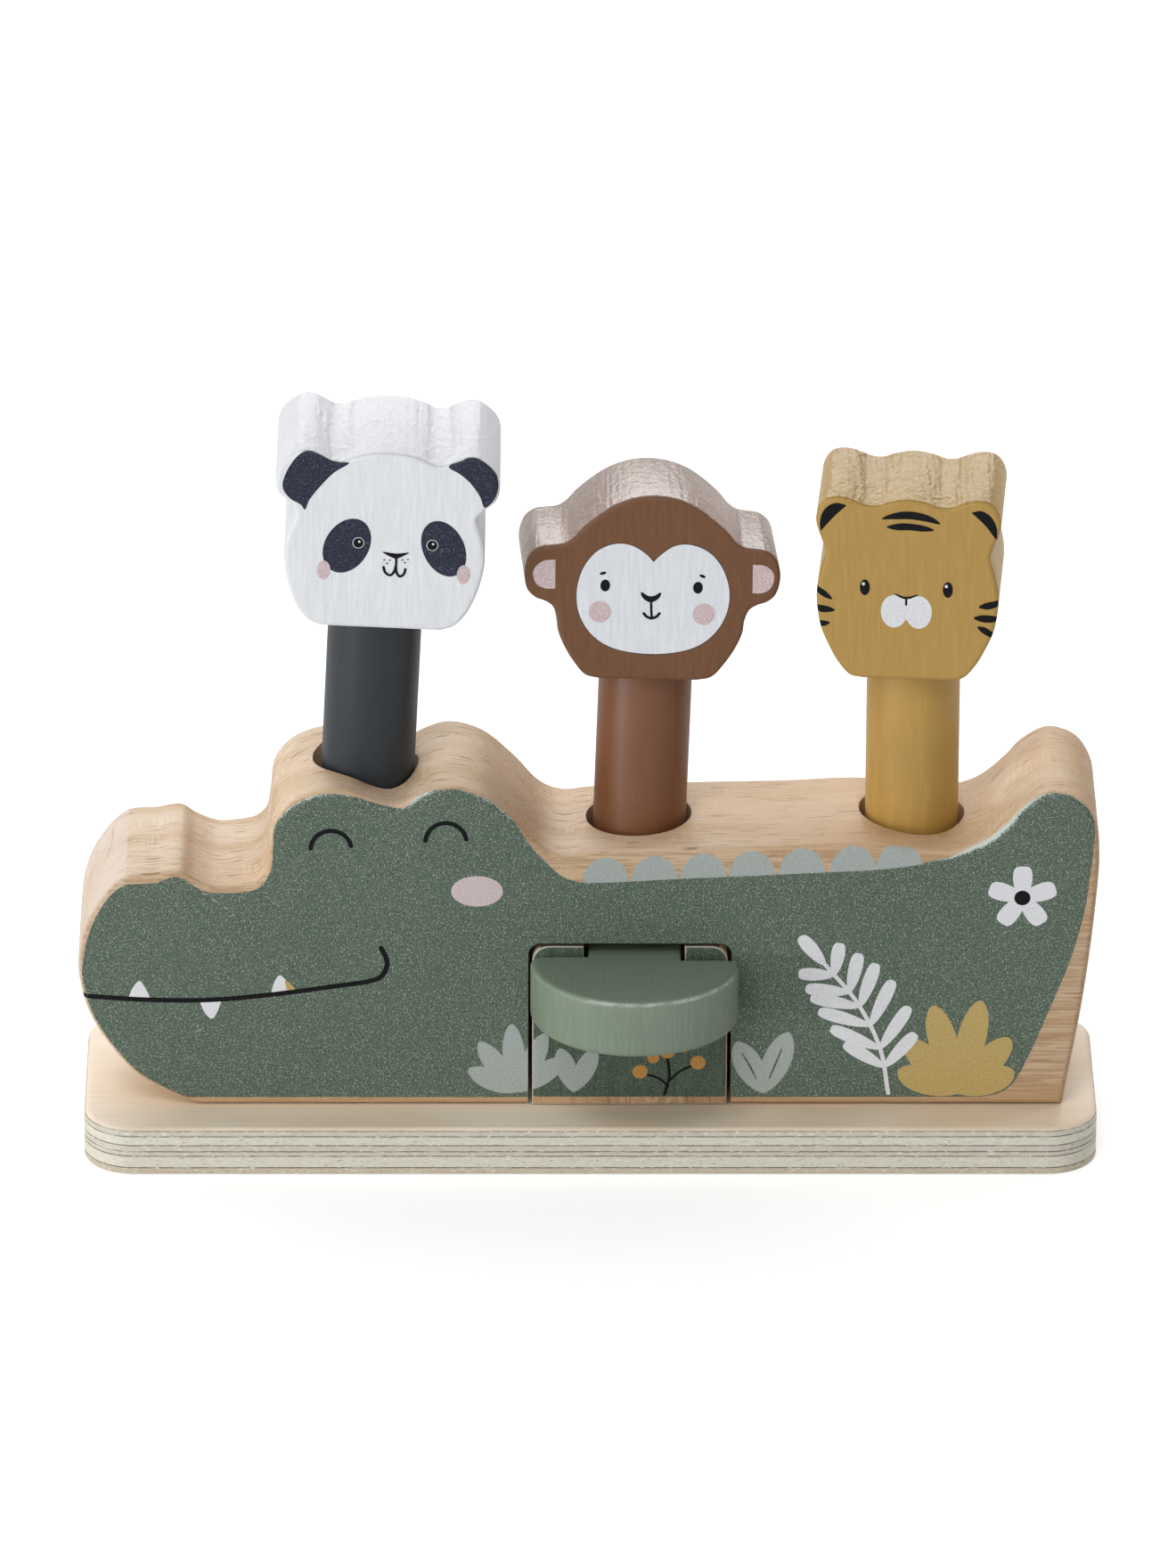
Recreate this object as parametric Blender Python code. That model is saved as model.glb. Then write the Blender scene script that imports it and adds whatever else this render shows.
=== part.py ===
"""A wooden pop-up toy: a crocodile block on a plywood base, with three animals on sticks.

The three sticks stand loosely in holes drilled down through the crocodile's back.
Inside the block lies a lever. Its front end is a half-round paddle that reaches out
through a clevis block in the front face, and a cross bar on its tail carries one round
kicker under each stick. Pressing the paddle lifts the bar, and the animals pop up.

Metres, +Z up. The origin is at the middle of the base's underside. The animals look
along -Y, and the crocodile's snout points along -X.
"""

import math

import bpy
import bmesh
import numpy as np
from mathutils import Matrix, Vector

# Clearances
SEAT_GAP = 0.0003           # between glued or screwed faces, and round fixed pins
RUNNING_GAP = 0.00045       # round the pivot pin, where the lever turns
OVERRUN = 0.004             # how far every cutter runs past the face it opens

# Plywood base
BASE_LENGTH = 0.240
BASE_WIDTH = 0.064
BASE_THICKNESS = 0.012
BASE_CORNER = 0.012
BASE_TOP_ROUNDING = 0.0015
BASE_UNDER_ROUNDING = 0.0006

# Crocodile block
BODY_LENGTH = 0.2404
BODY_HEIGHT = 0.0827
BODY_THICKNESS = 0.039
BODY_ROUNDING = 0.0016
BODY_OFFSET = -0.0007       # the block's middle from the base's middle
HOLE_RADIUS = 0.0125
HOLE_PITCH = 0.0645
MIDDLE_HOLE_X = 0.0113
HOLE_SETBACK = 0.0016       # the holes' middle line behind the block's

# Outline of the block seen from the front, from the jaw's foot over the snout, the two
# eye bumps, the back and the raised tail, down to the tail's foot: share of the length
# and share of the height.
BODY_SHARES = (
    (0.114, 0.000), (0.099, 0.019), (0.082, 0.045), (0.055, 0.097), (0.029, 0.188),
    (0.010, 0.288), (0.000, 0.409), (0.000, 0.468), (0.006, 0.559), (0.014, 0.613),
    (0.034, 0.694), (0.049, 0.723), (0.074, 0.729), (0.099, 0.739), (0.114, 0.712),
    (0.135, 0.688), (0.155, 0.691), (0.172, 0.702), (0.183, 0.733), (0.187, 0.789),
    (0.191, 0.880), (0.199, 0.921), (0.211, 0.954), (0.228, 0.977), (0.249, 0.989),
    (0.269, 0.982), (0.287, 0.960), (0.306, 0.941), (0.322, 0.948), (0.336, 0.975),
    (0.363, 1.000), (0.395, 0.975), (0.426, 0.898), (0.453, 0.812), (0.474, 0.787),
    (0.502, 0.794), (0.587, 0.806), (0.692, 0.813), (0.772, 0.822), (0.851, 0.800),
    (0.883, 0.824), (0.910, 0.888), (0.927, 0.944), (0.953, 0.985), (0.980, 0.960),
    (0.996, 0.889), (1.000, 0.791), (0.998, 0.654), (0.987, 0.345), (0.968, 0.000),
)

# Room for the lever, milled into the block from below
CHAMBER_WIDTH = 0.024
CHAMBER_HEIGHT = 0.054
CHAMBER_END_WALL = 0.003    # from the outer holes' edges to the chamber's ends
CHAMBER_CORNER = 0.006

# Clevis block that carries the lever, in its opening in the front face
PRESS_X = 0.0092            # the block's and the opening's middle
LEVER_X = 0.0102            # the notch's and the lever's middle
CLEVIS_WIDTH = 0.0461
CLEVIS_HEIGHT = 0.0415
CLEVIS_DEPTH = 0.012
CLEVIS_CORNER = 0.004
CLEVIS_ROUNDING = 0.0006
NOTCH_DEPTH = 0.021
NOTCH_CORNER = 0.002
NOTCH_GAP = 0.00095         # each side of the lever's neck
OPENING_GAP = 0.00095       # each side of the clevis block
OPENING_TOP_GAP = 0.0008
OPENING_CORNER = 0.003
PIVOT_RADIUS = 0.002
PIVOT_LENGTH = 0.044
PIVOT_SETBACK = 0.006       # the pivot behind the front face

# Lever: half-round paddle, neck, tail, cross bar and kickers
PADDLE_WIDTH = 0.049
PADDLE_REACH = 0.0266        # from the left shoulder to the bow
PADDLE_THICKNESS = 0.0142
PADDLE_TOP = 0.0398         # above the base's top face
PADDLE_ROUNDING = 0.0015
PADDLE_CORNER = 0.003
PADDLE_LEFT_GAP = 0.0005    # between the paddle's left shoulder and the front face
PADDLE_RIGHT_GAP = 0.0024   # and its right shoulder, which stands further out
NECK_WIDTH = 0.022
RELIEF_DEPTH = 0.0046       # bevel under the paddle's shoulders, so that it can tilt
RELIEF_TOP = 0.0025         # where that bevel starts, above the pivot
TAIL_LIP = 0.0032           # what is left of the tail under the cross bar
BAR_LENGTH = 0.150
BAR_WIDTH = 0.012
BAR_HEIGHT = 0.009
BAR_ROUNDING = 0.0012
BAR_END_ROUNDING = 0.0005
BAR_SETBACK = 0.004         # the bar's middle line behind the block's
KICKER_RADIUS = 0.004
KICKER_TOP = 0.050          # above the base's top face, lever at rest
KICKER_SOCKET = 0.0035
POST_RADIUS = 0.0045
POST_SPACING = 0.100
POST_ROUNDING = 0.0006

# Screws up through the base
SCREW_RADIUS = 0.0019
SCREW_HEAD_RADIUS = 0.0037
SCREW_HEAD_HEIGHT = 0.0024
BODY_SCREW_LENGTH = 0.028
CLEVIS_SCREW_LENGTH = 0.024
SCREW_RECESS = 0.0004       # the heads lie this deep under the base
BODY_SCREW_INSET = 0.013    # from the chamber's ends to the screws
BODY_SCREW_SPACING = 0.018
CLEVIS_SCREW_SPACING = 0.028

# Animals
STICK_RADIUS = 0.011
STICK_ROUNDING = 0.0012
STICK_TOP_ROUNDING = 0.0003
KICKER_GAP = 0.0003         # between a kicker and the stick that rests on it
PEG_RADIUS = 0.005
PEG_IN_STICK = 0.012
PEG_IN_HEAD = 0.014
PEG_CHAMFER = 0.0006
HEAD_THICKNESS = 0.0300
HEAD_ROUNDING = 0.001

# The heads are the same left and right, so each table holds the right half, from the
# crown down to the chin: share of the width from the middle, and share of the height.
PANDA_WIDTH = 0.0522
PANDA_HEIGHT = 0.0462
PANDA_REACH = 0.0444        # stick in sight, from the back to the head
PANDA_OFFSET = 0.0014       # the face's middle to the right of its stick
PANDA_HALF_SHARES = (
    (0.000, 1.000), (0.085, 0.993), (0.152, 0.971), (0.202, 0.945), (0.248, 0.945),
    (0.298, 0.974), (0.346, 0.996), (0.392, 0.996), (0.442, 0.960), (0.485, 0.903),
    (0.500, 0.824), (0.485, 0.753), (0.435, 0.694), (0.406, 0.650), (0.415, 0.588),
    (0.435, 0.524), (0.448, 0.430), (0.442, 0.326), (0.419, 0.214), (0.377, 0.099),
    (0.323, 0.026), (0.265, 0.000),
)

MONKEY_WIDTH = 0.060
MONKEY_HEIGHT = 0.0454
MONKEY_REACH = 0.0382
MONKEY_OFFSET = -0.0003
MONKEY_HALF_SHARES = (
    (0.000, 1.000), (0.088, 0.984), (0.162, 0.944), (0.223, 0.888), (0.282, 0.819),
    (0.320, 0.761), (0.353, 0.732), (0.398, 0.723), (0.443, 0.712), (0.480, 0.672),
    (0.498, 0.609), (0.500, 0.545), (0.485, 0.473), (0.453, 0.433), (0.413, 0.413),
    (0.385, 0.386), (0.368, 0.328), (0.362, 0.263), (0.337, 0.179), (0.293, 0.085),
    (0.247, 0.018), (0.192, 0.000),
)

TIGER_WIDTH = 0.0433
TIGER_HEIGHT = 0.0461
TIGER_REACH = 0.0411
TIGER_OFFSET = -0.0010
TIGER_HALF_SHARES = (
    (0.000, 0.996), (0.109, 0.978), (0.166, 0.959), (0.224, 0.959), (0.284, 0.980),
    (0.344, 0.998), (0.404, 1.000), (0.450, 0.983), (0.487, 0.934), (0.500, 0.873),
    (0.485, 0.808), (0.462, 0.747), (0.446, 0.690), (0.460, 0.629), (0.480, 0.557),
    (0.492, 0.472), (0.487, 0.378), (0.467, 0.275), (0.427, 0.181), (0.370, 0.081),
    (0.305, 0.013), (0.236, 0.000),
)

# The sticks are thinner than their holes, so each animal leans a little, in degrees:
# towards the front, towards the tail, and how far it has turned about its stick.
PANDA_LEAN = (4.6, 2.6, 0.3)
MONKEY_LEAN = (-5.6, 2.05, -2.3)
TIGER_LEAN = (0.3, 0.0, 4.5)

# Facets
CURVE_STEPS = 2             # between two points of an outline
ROUNDING_STEPS = 2
CORNER_STEPS = 6
HOLE_SIDES = 36
STICK_SIDES = 32
PIN_SIDES = 16

# Places that follow from the sizes
BASE_TOP = BASE_THICKNESS
BODY_FRONT = -BODY_THICKNESS / 2
HOLES_X = tuple(MIDDLE_HOLE_X + HOLE_PITCH * side for side in (-1, 0, 1))
PIVOT_Y = BODY_FRONT + PIVOT_SETBACK
PIVOT_Z = BASE_TOP + PADDLE_TOP - PADDLE_THICKNESS / 2
CHAMBER_LEFT = HOLES_X[0] - HOLE_RADIUS - CHAMBER_END_WALL
CHAMBER_RIGHT = HOLES_X[2] + HOLE_RADIUS + CHAMBER_END_WALL
CHAMBER_TOP = BASE_TOP + CHAMBER_HEIGHT
BAR_Z = BASE_TOP + PADDLE_TOP - PADDLE_THICKNESS + TAIL_LIP + SEAT_GAP
BAR_BACK = BAR_SETBACK + BAR_WIDTH / 2
BODY_SCREW_PLACES = tuple(
    (x, BODY_SCREW_SPACING * side / 2)
    for x in (CHAMBER_LEFT - BODY_SCREW_INSET, CHAMBER_RIGHT + BODY_SCREW_INSET)
    for side in (-1, 1)
)
CLEVIS_SCREW_PLACES = tuple(
    (PRESS_X + CLEVIS_SCREW_SPACING * side / 2, BODY_FRONT + CLEVIS_DEPTH / 2)
    for side in (-1, 1)
)


def material(name, colour, roughness, metallic=0.0):
    """A plain finish in the photographed colour."""
    finish = bpy.data.materials.new(name)
    finish.use_nodes = True
    shader = finish.node_tree.nodes["Principled BSDF"]
    shader.inputs["Base Color"].default_value = (*colour, 1.0)
    shader.inputs["Roughness"].default_value = roughness
    shader.inputs["Metallic"].default_value = metallic
    finish.diffuse_color = (*colour, 1.0)
    return finish


def smooth_curve(points):
    """A centripetal Catmull-Rom curve through the points, with CURVE_STEPS to a span."""
    points = np.asarray(points, float)
    first = 2 * points[0] - points[1]
    last = 2 * points[-1] - points[-2]
    ring = np.vstack([first, points, last])
    curve = []
    for a, b, c, d in zip(ring[:-3], ring[1:-2], ring[2:-1], ring[3:]):
        times = [0.0]
        for start, end in ((a, b), (b, c), (c, d)):
            times.append(times[-1] + math.sqrt(np.linalg.norm(end - start)))
        ta, tb, tc, td = times
        for step in range(CURVE_STEPS):
            t = tb + (tc - tb) * step / CURVE_STEPS
            ab = ((tb - t) * a + (t - ta) * b) / (tb - ta)
            bc = ((tc - t) * b + (t - tb) * c) / (tc - tb)
            cd = ((td - t) * c + (t - tc) * d) / (td - tc)
            abc = ((tc - t) * ab + (t - ta) * bc) / (tc - ta)
            bcd = ((td - t) * bc + (t - tb) * cd) / (td - tb)
            curve.append(((tc - t) * abc + (t - tb) * bcd) / (tc - tb))
    curve.append(points[-1])
    return [tuple(point) for point in curve]


def arc(centre, radii, start, end, steps):
    """Points on an ellipse's arc, from one angle to the other in degrees."""
    angles = [math.radians(start + (end - start) * i / steps) for i in range(steps + 1)]
    return [(centre[0] + radii[0] * math.cos(a), centre[1] + radii[1] * math.sin(a))
            for a in angles]


def rounded_box(left, right, low, high, radius):
    """A rectangle's outline with round corners, anticlockwise."""
    corners = ((right, high, 0), (left, high, 90), (left, low, 180), (right, low, 270))
    outline = []
    for x, y, start in corners:
        centre = (x + radius if x == left else x - radius,
                  y + radius if y == low else y - radius)
        outline += arc(centre, (radius, radius), start, start + 90, CORNER_STEPS)
    return outline


def inset(outline, distance):
    """The outline moved inwards by a distance, with mitred corners."""
    points = np.asarray(outline, float)
    ahead = np.roll(points, -1, axis=0) - points
    ahead /= np.linalg.norm(ahead, axis=1)[:, None]
    normals = np.stack([ahead[:, 1], -ahead[:, 0]], axis=1)
    area = np.sum(points[:, 0] * np.roll(points[:, 1], -1)
                  - points[:, 1] * np.roll(points[:, 0], -1))
    outwards = normals if area > 0 else -normals
    before = np.roll(outwards, 1, axis=0)
    share = 1 + np.sum(before * outwards, axis=1)
    return points - distance * (before + outwards) / share[:, None]


def finish_mesh(name, mesh_builder, finish):
    """Turn a bmesh into a named object with its faces outwards."""
    bmesh.ops.recalc_face_normals(mesh_builder, faces=mesh_builder.faces)
    mesh = bpy.data.meshes.new(name)
    mesh_builder.to_mesh(mesh)
    mesh_builder.free()
    if finish:
        mesh.materials.append(finish)
    mesh.shade_smooth()
    mesh.set_sharp_from_angle(angle=math.radians(28))
    piece = bpy.data.objects.new(name, mesh)
    bpy.context.scene.collection.objects.link(piece)
    return piece


def slab(name, outline, low, high, finish=None, along="Z", low_round=0.0, high_round=0.0):
    """An outline pushed along an axis, with its edges rounded at either end.

    Along Z the outline is a plan (x, y). Along Y it is a front view (x, z), and along X
    a side view (y, z).
    """
    levels = []
    for edge, radius, inwards in ((low, low_round, 1), (high, high_round, -1)):
        steps = ROUNDING_STEPS if radius else 0
        ring = []
        for i in range(steps + 1):
            angle = math.pi / 2 * i / steps if steps else math.pi / 2
            ring.append((radius * (1 - math.sin(angle)),
                         edge + inwards * radius * (1 - math.cos(angle))))
        levels += ring if inwards > 0 else ring[::-1]
    builder = bmesh.new()
    rings = []
    for depth, place in levels:
        points = inset(outline, depth) if depth > 0 else outline
        if along == "Z":
            ring = [builder.verts.new((x, y, place)) for x, y in points]
        elif along == "Y":
            ring = [builder.verts.new((x, place, z)) for x, z in points]
        else:
            ring = [builder.verts.new((place, y, z)) for y, z in points]
        rings.append(ring)
    for near, far in zip(rings, rings[1:]):
        for i, vertex in enumerate(near):
            j = (i + 1) % len(near)
            builder.faces.new((vertex, near[j], far[j], far[i]))
    builder.faces.new(rings[0])
    builder.faces.new(rings[-1])
    return finish_mesh(name, builder, finish)


def turned(name, profile, sides, finish=None):
    """A profile of (radius, height) points turned about Z. Radius 0 closes an end."""
    builder = bmesh.new()
    rings = []
    for radius, height in profile:
        if radius == 0:
            rings.append([builder.verts.new((0, 0, height))])
            continue
        angles = [2 * math.pi * i / sides for i in range(sides)]
        rings.append([builder.verts.new((radius * math.cos(a), radius * math.sin(a), height))
                      for a in angles])
    for low, high in zip(rings, rings[1:]):
        for i in range(sides):
            j = (i + 1) % sides
            corners = (low[i % len(low)], low[j % len(low)],
                       high[j % len(high)], high[i % len(high)])
            unique = list(dict.fromkeys(corners))
            builder.faces.new(unique)
    return finish_mesh(name, builder, finish)


def rod_profile(radius, low, high, low_round, high_round):
    """The profile of a rod with a rounded edge at each end."""
    points = [(0, low)]
    points += [(radius - low_round + x, low + low_round - y) for x, y in
               arc((0, 0), (low_round, low_round), 90, 0, ROUNDING_STEPS)]
    points += [(radius - high_round + x, high - high_round + y) for x, y in
               arc((0, 0), (high_round, high_round), 0, 90, ROUNDING_STEPS)]
    return points + [(0, high)]


def cut(piece, cutter):
    """Take a cutter away from a piece, and keep the cutter as a wire guide."""
    cutter.hide_render = True
    cutter.display_type = "WIRE"
    cutter.parent = piece.parent
    boolean = piece.modifiers.new(cutter.name, "BOOLEAN")
    boolean.operation = "DIFFERENCE"
    boolean.solver = "EXACT"
    boolean.object = cutter


def axis(name, place, turn=None, parent=None):
    """An empty on a joint's axis."""
    empty = bpy.data.objects.new(name, None)
    bpy.context.scene.collection.objects.link(empty)
    empty.parent = parent
    empty.location = place
    if turn:
        empty.rotation_euler = turn
    return empty


def drill(piece, name, x, y, low, high, radius, sides=PIN_SIDES):
    """A round hole along Z through a piece."""
    drill_bit = turned(name, [(0, low), (radius, low), (radius, high), (0, high)], sides)
    drill_bit.location = (x, y, 0)
    cut(piece, drill_bit)


def body_outline():
    """The crocodile's outline in the front view, in the part's own frame."""
    left = BODY_OFFSET - BODY_LENGTH / 2
    low = BASE_TOP + SEAT_GAP
    points = [(left + BODY_LENGTH * x, low + BODY_HEIGHT * z) for x, z in BODY_SHARES]
    return smooth_curve(points)


def back_height(outline, x):
    """How high the crocodile's back is at x."""
    heights = []
    for (xa, za), (xb, zb) in zip(outline, outline[1:]):
        if min(xa, xb) <= x <= max(xa, xb) and xa != xb:
            heights.append(za + (zb - za) * (x - xa) / (xb - xa))
    return max(heights)


def screw(name, x, y, length, finish):
    """A countersunk wood screw, head down, from under the base."""
    low = SCREW_RECESS
    neck = low + SCREW_HEAD_HEIGHT
    tip = low + length
    profile = [(0, low), (SCREW_HEAD_RADIUS, low), (SCREW_RADIUS, neck),
               (SCREW_RADIUS, tip - SCREW_RADIUS), (0, tip)]
    piece = turned(name, profile, PIN_SIDES, finish)
    piece.location = (x, y, 0)
    return piece


def screw_hole(piece, name, x, y, length):
    """The screw's own shape taken out of a piece, with the seat gap all round it."""
    radius = SCREW_RADIUS + SEAT_GAP
    head = SCREW_HEAD_RADIUS + SEAT_GAP
    neck = SCREW_RECESS + SCREW_HEAD_HEIGHT + SEAT_GAP
    tip = SCREW_RECESS + length + SEAT_GAP
    profile = [(0, -OVERRUN), (head, -OVERRUN), (head, SCREW_RECESS), (radius, neck),
               (radius, tip), (0, tip)]
    cutter = turned(name, profile, PIN_SIDES)
    cutter.location = (x, y, 0)
    cut(piece, cutter)


def make_base(finish):
    """The plywood plate with its countersunk screw holes."""
    outline = rounded_box(-BASE_LENGTH / 2, BASE_LENGTH / 2, -BASE_WIDTH / 2,
                          BASE_WIDTH / 2, BASE_CORNER)
    base = slab("plywood_base", outline, 0, BASE_TOP, finish, "Z",
                BASE_UNDER_ROUNDING, BASE_TOP_ROUNDING)
    for number, (x, y) in enumerate(BODY_SCREW_PLACES + CLEVIS_SCREW_PLACES, 1):
        screw_hole(base, f"base_screw_hole_{number}", x, y, BODY_SCREW_LENGTH)
    return base


def make_body(finish):
    """The crocodile block, with its chamber, front opening, stick holes and pilot holes."""
    outline = body_outline()
    body = slab("crocodile_body", outline, BODY_FRONT, -BODY_FRONT, finish, "Y",
                BODY_ROUNDING, BODY_ROUNDING)
    plan = rounded_box(CHAMBER_LEFT, CHAMBER_RIGHT, -CHAMBER_WIDTH / 2, CHAMBER_WIDTH / 2,
                       CHAMBER_CORNER)
    cut(body, slab("chamber", plan, BASE_TOP - OVERRUN, CHAMBER_TOP))
    half = CLEVIS_WIDTH / 2 + OPENING_GAP
    top = BASE_TOP + SEAT_GAP + CLEVIS_HEIGHT + OPENING_TOP_GAP
    front = rounded_box(PRESS_X - half, PRESS_X + half, BASE_TOP - OVERRUN, top,
                        OPENING_CORNER)
    cut(body, slab("front_opening", front, BODY_FRONT - OVERRUN, 0, None, "Y"))
    for name, x in zip(("panda", "monkey", "tiger"), HOLES_X):
        drill(body, f"{name}_hole", x, HOLE_SETBACK, CHAMBER_TOP - OVERRUN,
              BASE_TOP + BODY_HEIGHT + OVERRUN, HOLE_RADIUS, HOLE_SIDES)
    for number, (x, y) in enumerate(BODY_SCREW_PLACES, 1):
        drill(body, f"body_pilot_{number}", x, y, BASE_TOP - OVERRUN,
              SCREW_RECESS + BODY_SCREW_LENGTH + SEAT_GAP, SCREW_RADIUS + SEAT_GAP)
    return outline


def make_clevis(finish, steel):
    """The block in the front opening, its notch, and the pin that the lever turns on."""
    low = BASE_TOP + SEAT_GAP
    high = low + CLEVIS_HEIGHT
    half = CLEVIS_WIDTH / 2
    notch = NECK_WIDTH / 2 + NOTCH_GAP
    floor = high - NOTCH_DEPTH
    left, right = PRESS_X - half, PRESS_X + half
    outline = [(left, low), (right, low)]
    outline += arc((right - CLEVIS_CORNER, high - CLEVIS_CORNER),
                   (CLEVIS_CORNER, CLEVIS_CORNER), 0, 90, CORNER_STEPS)
    outline.append((LEVER_X + notch, high))
    outline += arc((LEVER_X + notch - NOTCH_CORNER, floor + NOTCH_CORNER),
                   (NOTCH_CORNER, NOTCH_CORNER), 0, -90, CORNER_STEPS // 2)
    outline += arc((LEVER_X - notch + NOTCH_CORNER, floor + NOTCH_CORNER),
                   (NOTCH_CORNER, NOTCH_CORNER), -90, -180, CORNER_STEPS // 2)
    outline.append((LEVER_X - notch, high))
    outline += arc((left + CLEVIS_CORNER, high - CLEVIS_CORNER),
                   (CLEVIS_CORNER, CLEVIS_CORNER), 90, 180, CORNER_STEPS)
    block = slab("front_block", outline, BODY_FRONT, BODY_FRONT + CLEVIS_DEPTH, finish, "Y",
                 CLEVIS_ROUNDING, 0.0)
    for number, (screw_x, screw_y) in enumerate(CLEVIS_SCREW_PLACES, 1):
        drill(block, f"block_pilot_{number}", screw_x, screw_y, BASE_TOP - OVERRUN,
              SCREW_RECESS + CLEVIS_SCREW_LENGTH + SEAT_GAP, SCREW_RADIUS + SEAT_GAP)
    reach = half + OVERRUN
    bore = PIVOT_RADIUS + SEAT_GAP
    pin_hole = turned("block_pin_hole", [(0, -reach), (bore, -reach), (bore, reach), (0, reach)],
                      PIN_SIDES)
    pin_hole.location = (PRESS_X, PIVOT_Y, PIVOT_Z)
    pin_hole.rotation_euler = (0, math.pi / 2, 0)
    cut(block, pin_hole)
    end = PIVOT_LENGTH / 2
    profile = rod_profile(PIVOT_RADIUS, -end, end, PIVOT_RADIUS / 4, PIVOT_RADIUS / 4)
    pin = turned("pivot_pin", profile, PIN_SIDES, steel)
    pin.location = (PRESS_X, PIVOT_Y, PIVOT_Z)
    pin.rotation_euler = (0, math.pi / 2, 0)


def paddle_outline():
    """The lever board in plan: half-round paddle, neck and tail, about the pivot."""
    half = PADDLE_WIDTH / 2
    neck = NECK_WIDTH / 2
    tail = BAR_BACK - PIVOT_Y
    left_edge = -PIVOT_SETBACK - PADDLE_LEFT_GAP
    right_edge = -PIVOT_SETBACK - PADDLE_RIGHT_GAP
    bow = left_edge - PADDLE_REACH
    left_side = left_edge - PADDLE_CORNER
    right_side = right_edge - PADDLE_CORNER
    outline = [(-neck, left_edge)]
    outline += arc((-half + PADDLE_CORNER, left_side), (PADDLE_CORNER, PADDLE_CORNER), 90, 180,
                   CORNER_STEPS // 2)
    outline += arc((0, left_side), (half, left_side - bow), 180, 270, 2 * CORNER_STEPS)[1:]
    outline += arc((0, right_side), (half, right_side - bow), 270, 360, 2 * CORNER_STEPS)[1:-1]
    outline += arc((half - PADDLE_CORNER, right_side), (PADDLE_CORNER, PADDLE_CORNER), 0, 90,
                   CORNER_STEPS // 2)
    outline += [(neck, right_edge), (neck, tail), (-neck, tail)]
    return outline


def make_lever(paint, wood):
    """The paddle board, its cross bar and the three kickers, on the pivot's axis."""
    pivot = axis("lever_axis", (LEVER_X, PIVOT_Y, PIVOT_Z))
    half = PADDLE_THICKNESS / 2
    paddle = slab("press_paddle", paddle_outline(), -half, half, paint, "Z",
                  PADDLE_ROUNDING, PADDLE_ROUNDING)
    paddle.parent = pivot
    reach = NECK_WIDTH / 2 + OVERRUN
    bore = PIVOT_RADIUS + RUNNING_GAP
    pin_bore = turned("paddle_pin_bore",
                      [(0, -reach), (bore, -reach), (bore, reach), (0, reach)], PIN_SIDES)
    pin_bore.rotation_euler = (0, math.pi / 2, 0)
    cut(paddle, pin_bore)
    bar_front = BAR_SETBACK - BAR_WIDTH / 2 - PIVOT_Y
    bar_end = BAR_BACK - PIVOT_Y
    lap = [(bar_front - SEAT_GAP, -half + TAIL_LIP), (bar_end + OVERRUN, -half + TAIL_LIP),
           (bar_end + OVERRUN, half + OVERRUN), (bar_front - SEAT_GAP, half + OVERRUN)]
    cut(paddle, slab("tail_lap", lap, -reach, reach, None, "X"))
    edge = -PIVOT_SETBACK - PADDLE_LEFT_GAP
    relief = [(edge + OVERRUN, RELIEF_TOP), (edge, RELIEF_TOP),
              (edge - RELIEF_DEPTH, -half), (edge - RELIEF_DEPTH, -half - OVERRUN),
              (edge + OVERRUN, -half - OVERRUN)]
    neck = NECK_WIDTH / 2
    outer = PADDLE_WIDTH / 2 + OVERRUN
    cut(paddle, slab("left_relief", relief, -outer, -neck, None, "X"))
    cut(paddle, slab("right_relief", relief, neck, outer, None, "X"))

    centre = BAR_SETBACK - PIVOT_Y
    bar_low = BAR_Z - PIVOT_Z
    bar_high = bar_low + BAR_HEIGHT
    section = rounded_box(centre - BAR_WIDTH / 2, centre + BAR_WIDTH / 2, bar_low, bar_high,
                          BAR_ROUNDING)
    bar = slab("lift_bar", section, -BAR_LENGTH / 2, BAR_LENGTH / 2, wood, "X",
               BAR_END_ROUNDING, BAR_END_ROUNDING)
    bar.parent = pivot
    bar.location = (MIDDLE_HOLE_X - LEVER_X, 0, 0)
    low = bar_high - KICKER_SOCKET + SEAT_GAP
    high = BASE_TOP + KICKER_TOP - PIVOT_Z
    dome = high - KICKER_RADIUS
    profile = [(0, low), (KICKER_RADIUS, low)]
    profile += [(r, z) for r, z in arc((0, dome), (KICKER_RADIUS, KICKER_RADIUS), 0, 90,
                                       CORNER_STEPS)][:-1]
    profile.append((0, high))
    for name, x in zip(("panda", "monkey", "tiger"), HOLES_X):
        drill(bar, f"{name}_socket", x - LEVER_X, centre, bar_high - KICKER_SOCKET,
              bar_high + OVERRUN, KICKER_RADIUS + SEAT_GAP)
        kicker = turned(f"kicker_{name}", profile, PIN_SIDES, wood)
        kicker.parent = pivot
        kicker.location = (x - LEVER_X, centre, 0)


def make_posts(wood):
    """The two dowels that hold the bar's ends up while nothing presses the paddle."""
    low = BASE_TOP + SEAT_GAP
    high = BAR_Z - SEAT_GAP
    profile = rod_profile(POST_RADIUS, low, high, POST_ROUNDING, POST_ROUNDING)
    for name, side in (("stop_post_left", -1), ("stop_post_right", 1)):
        post = turned(name, profile, PIN_SIDES, wood)
        post.location = (MIDDLE_HOLE_X + side * POST_SPACING / 2, BAR_SETBACK, 0)


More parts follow.
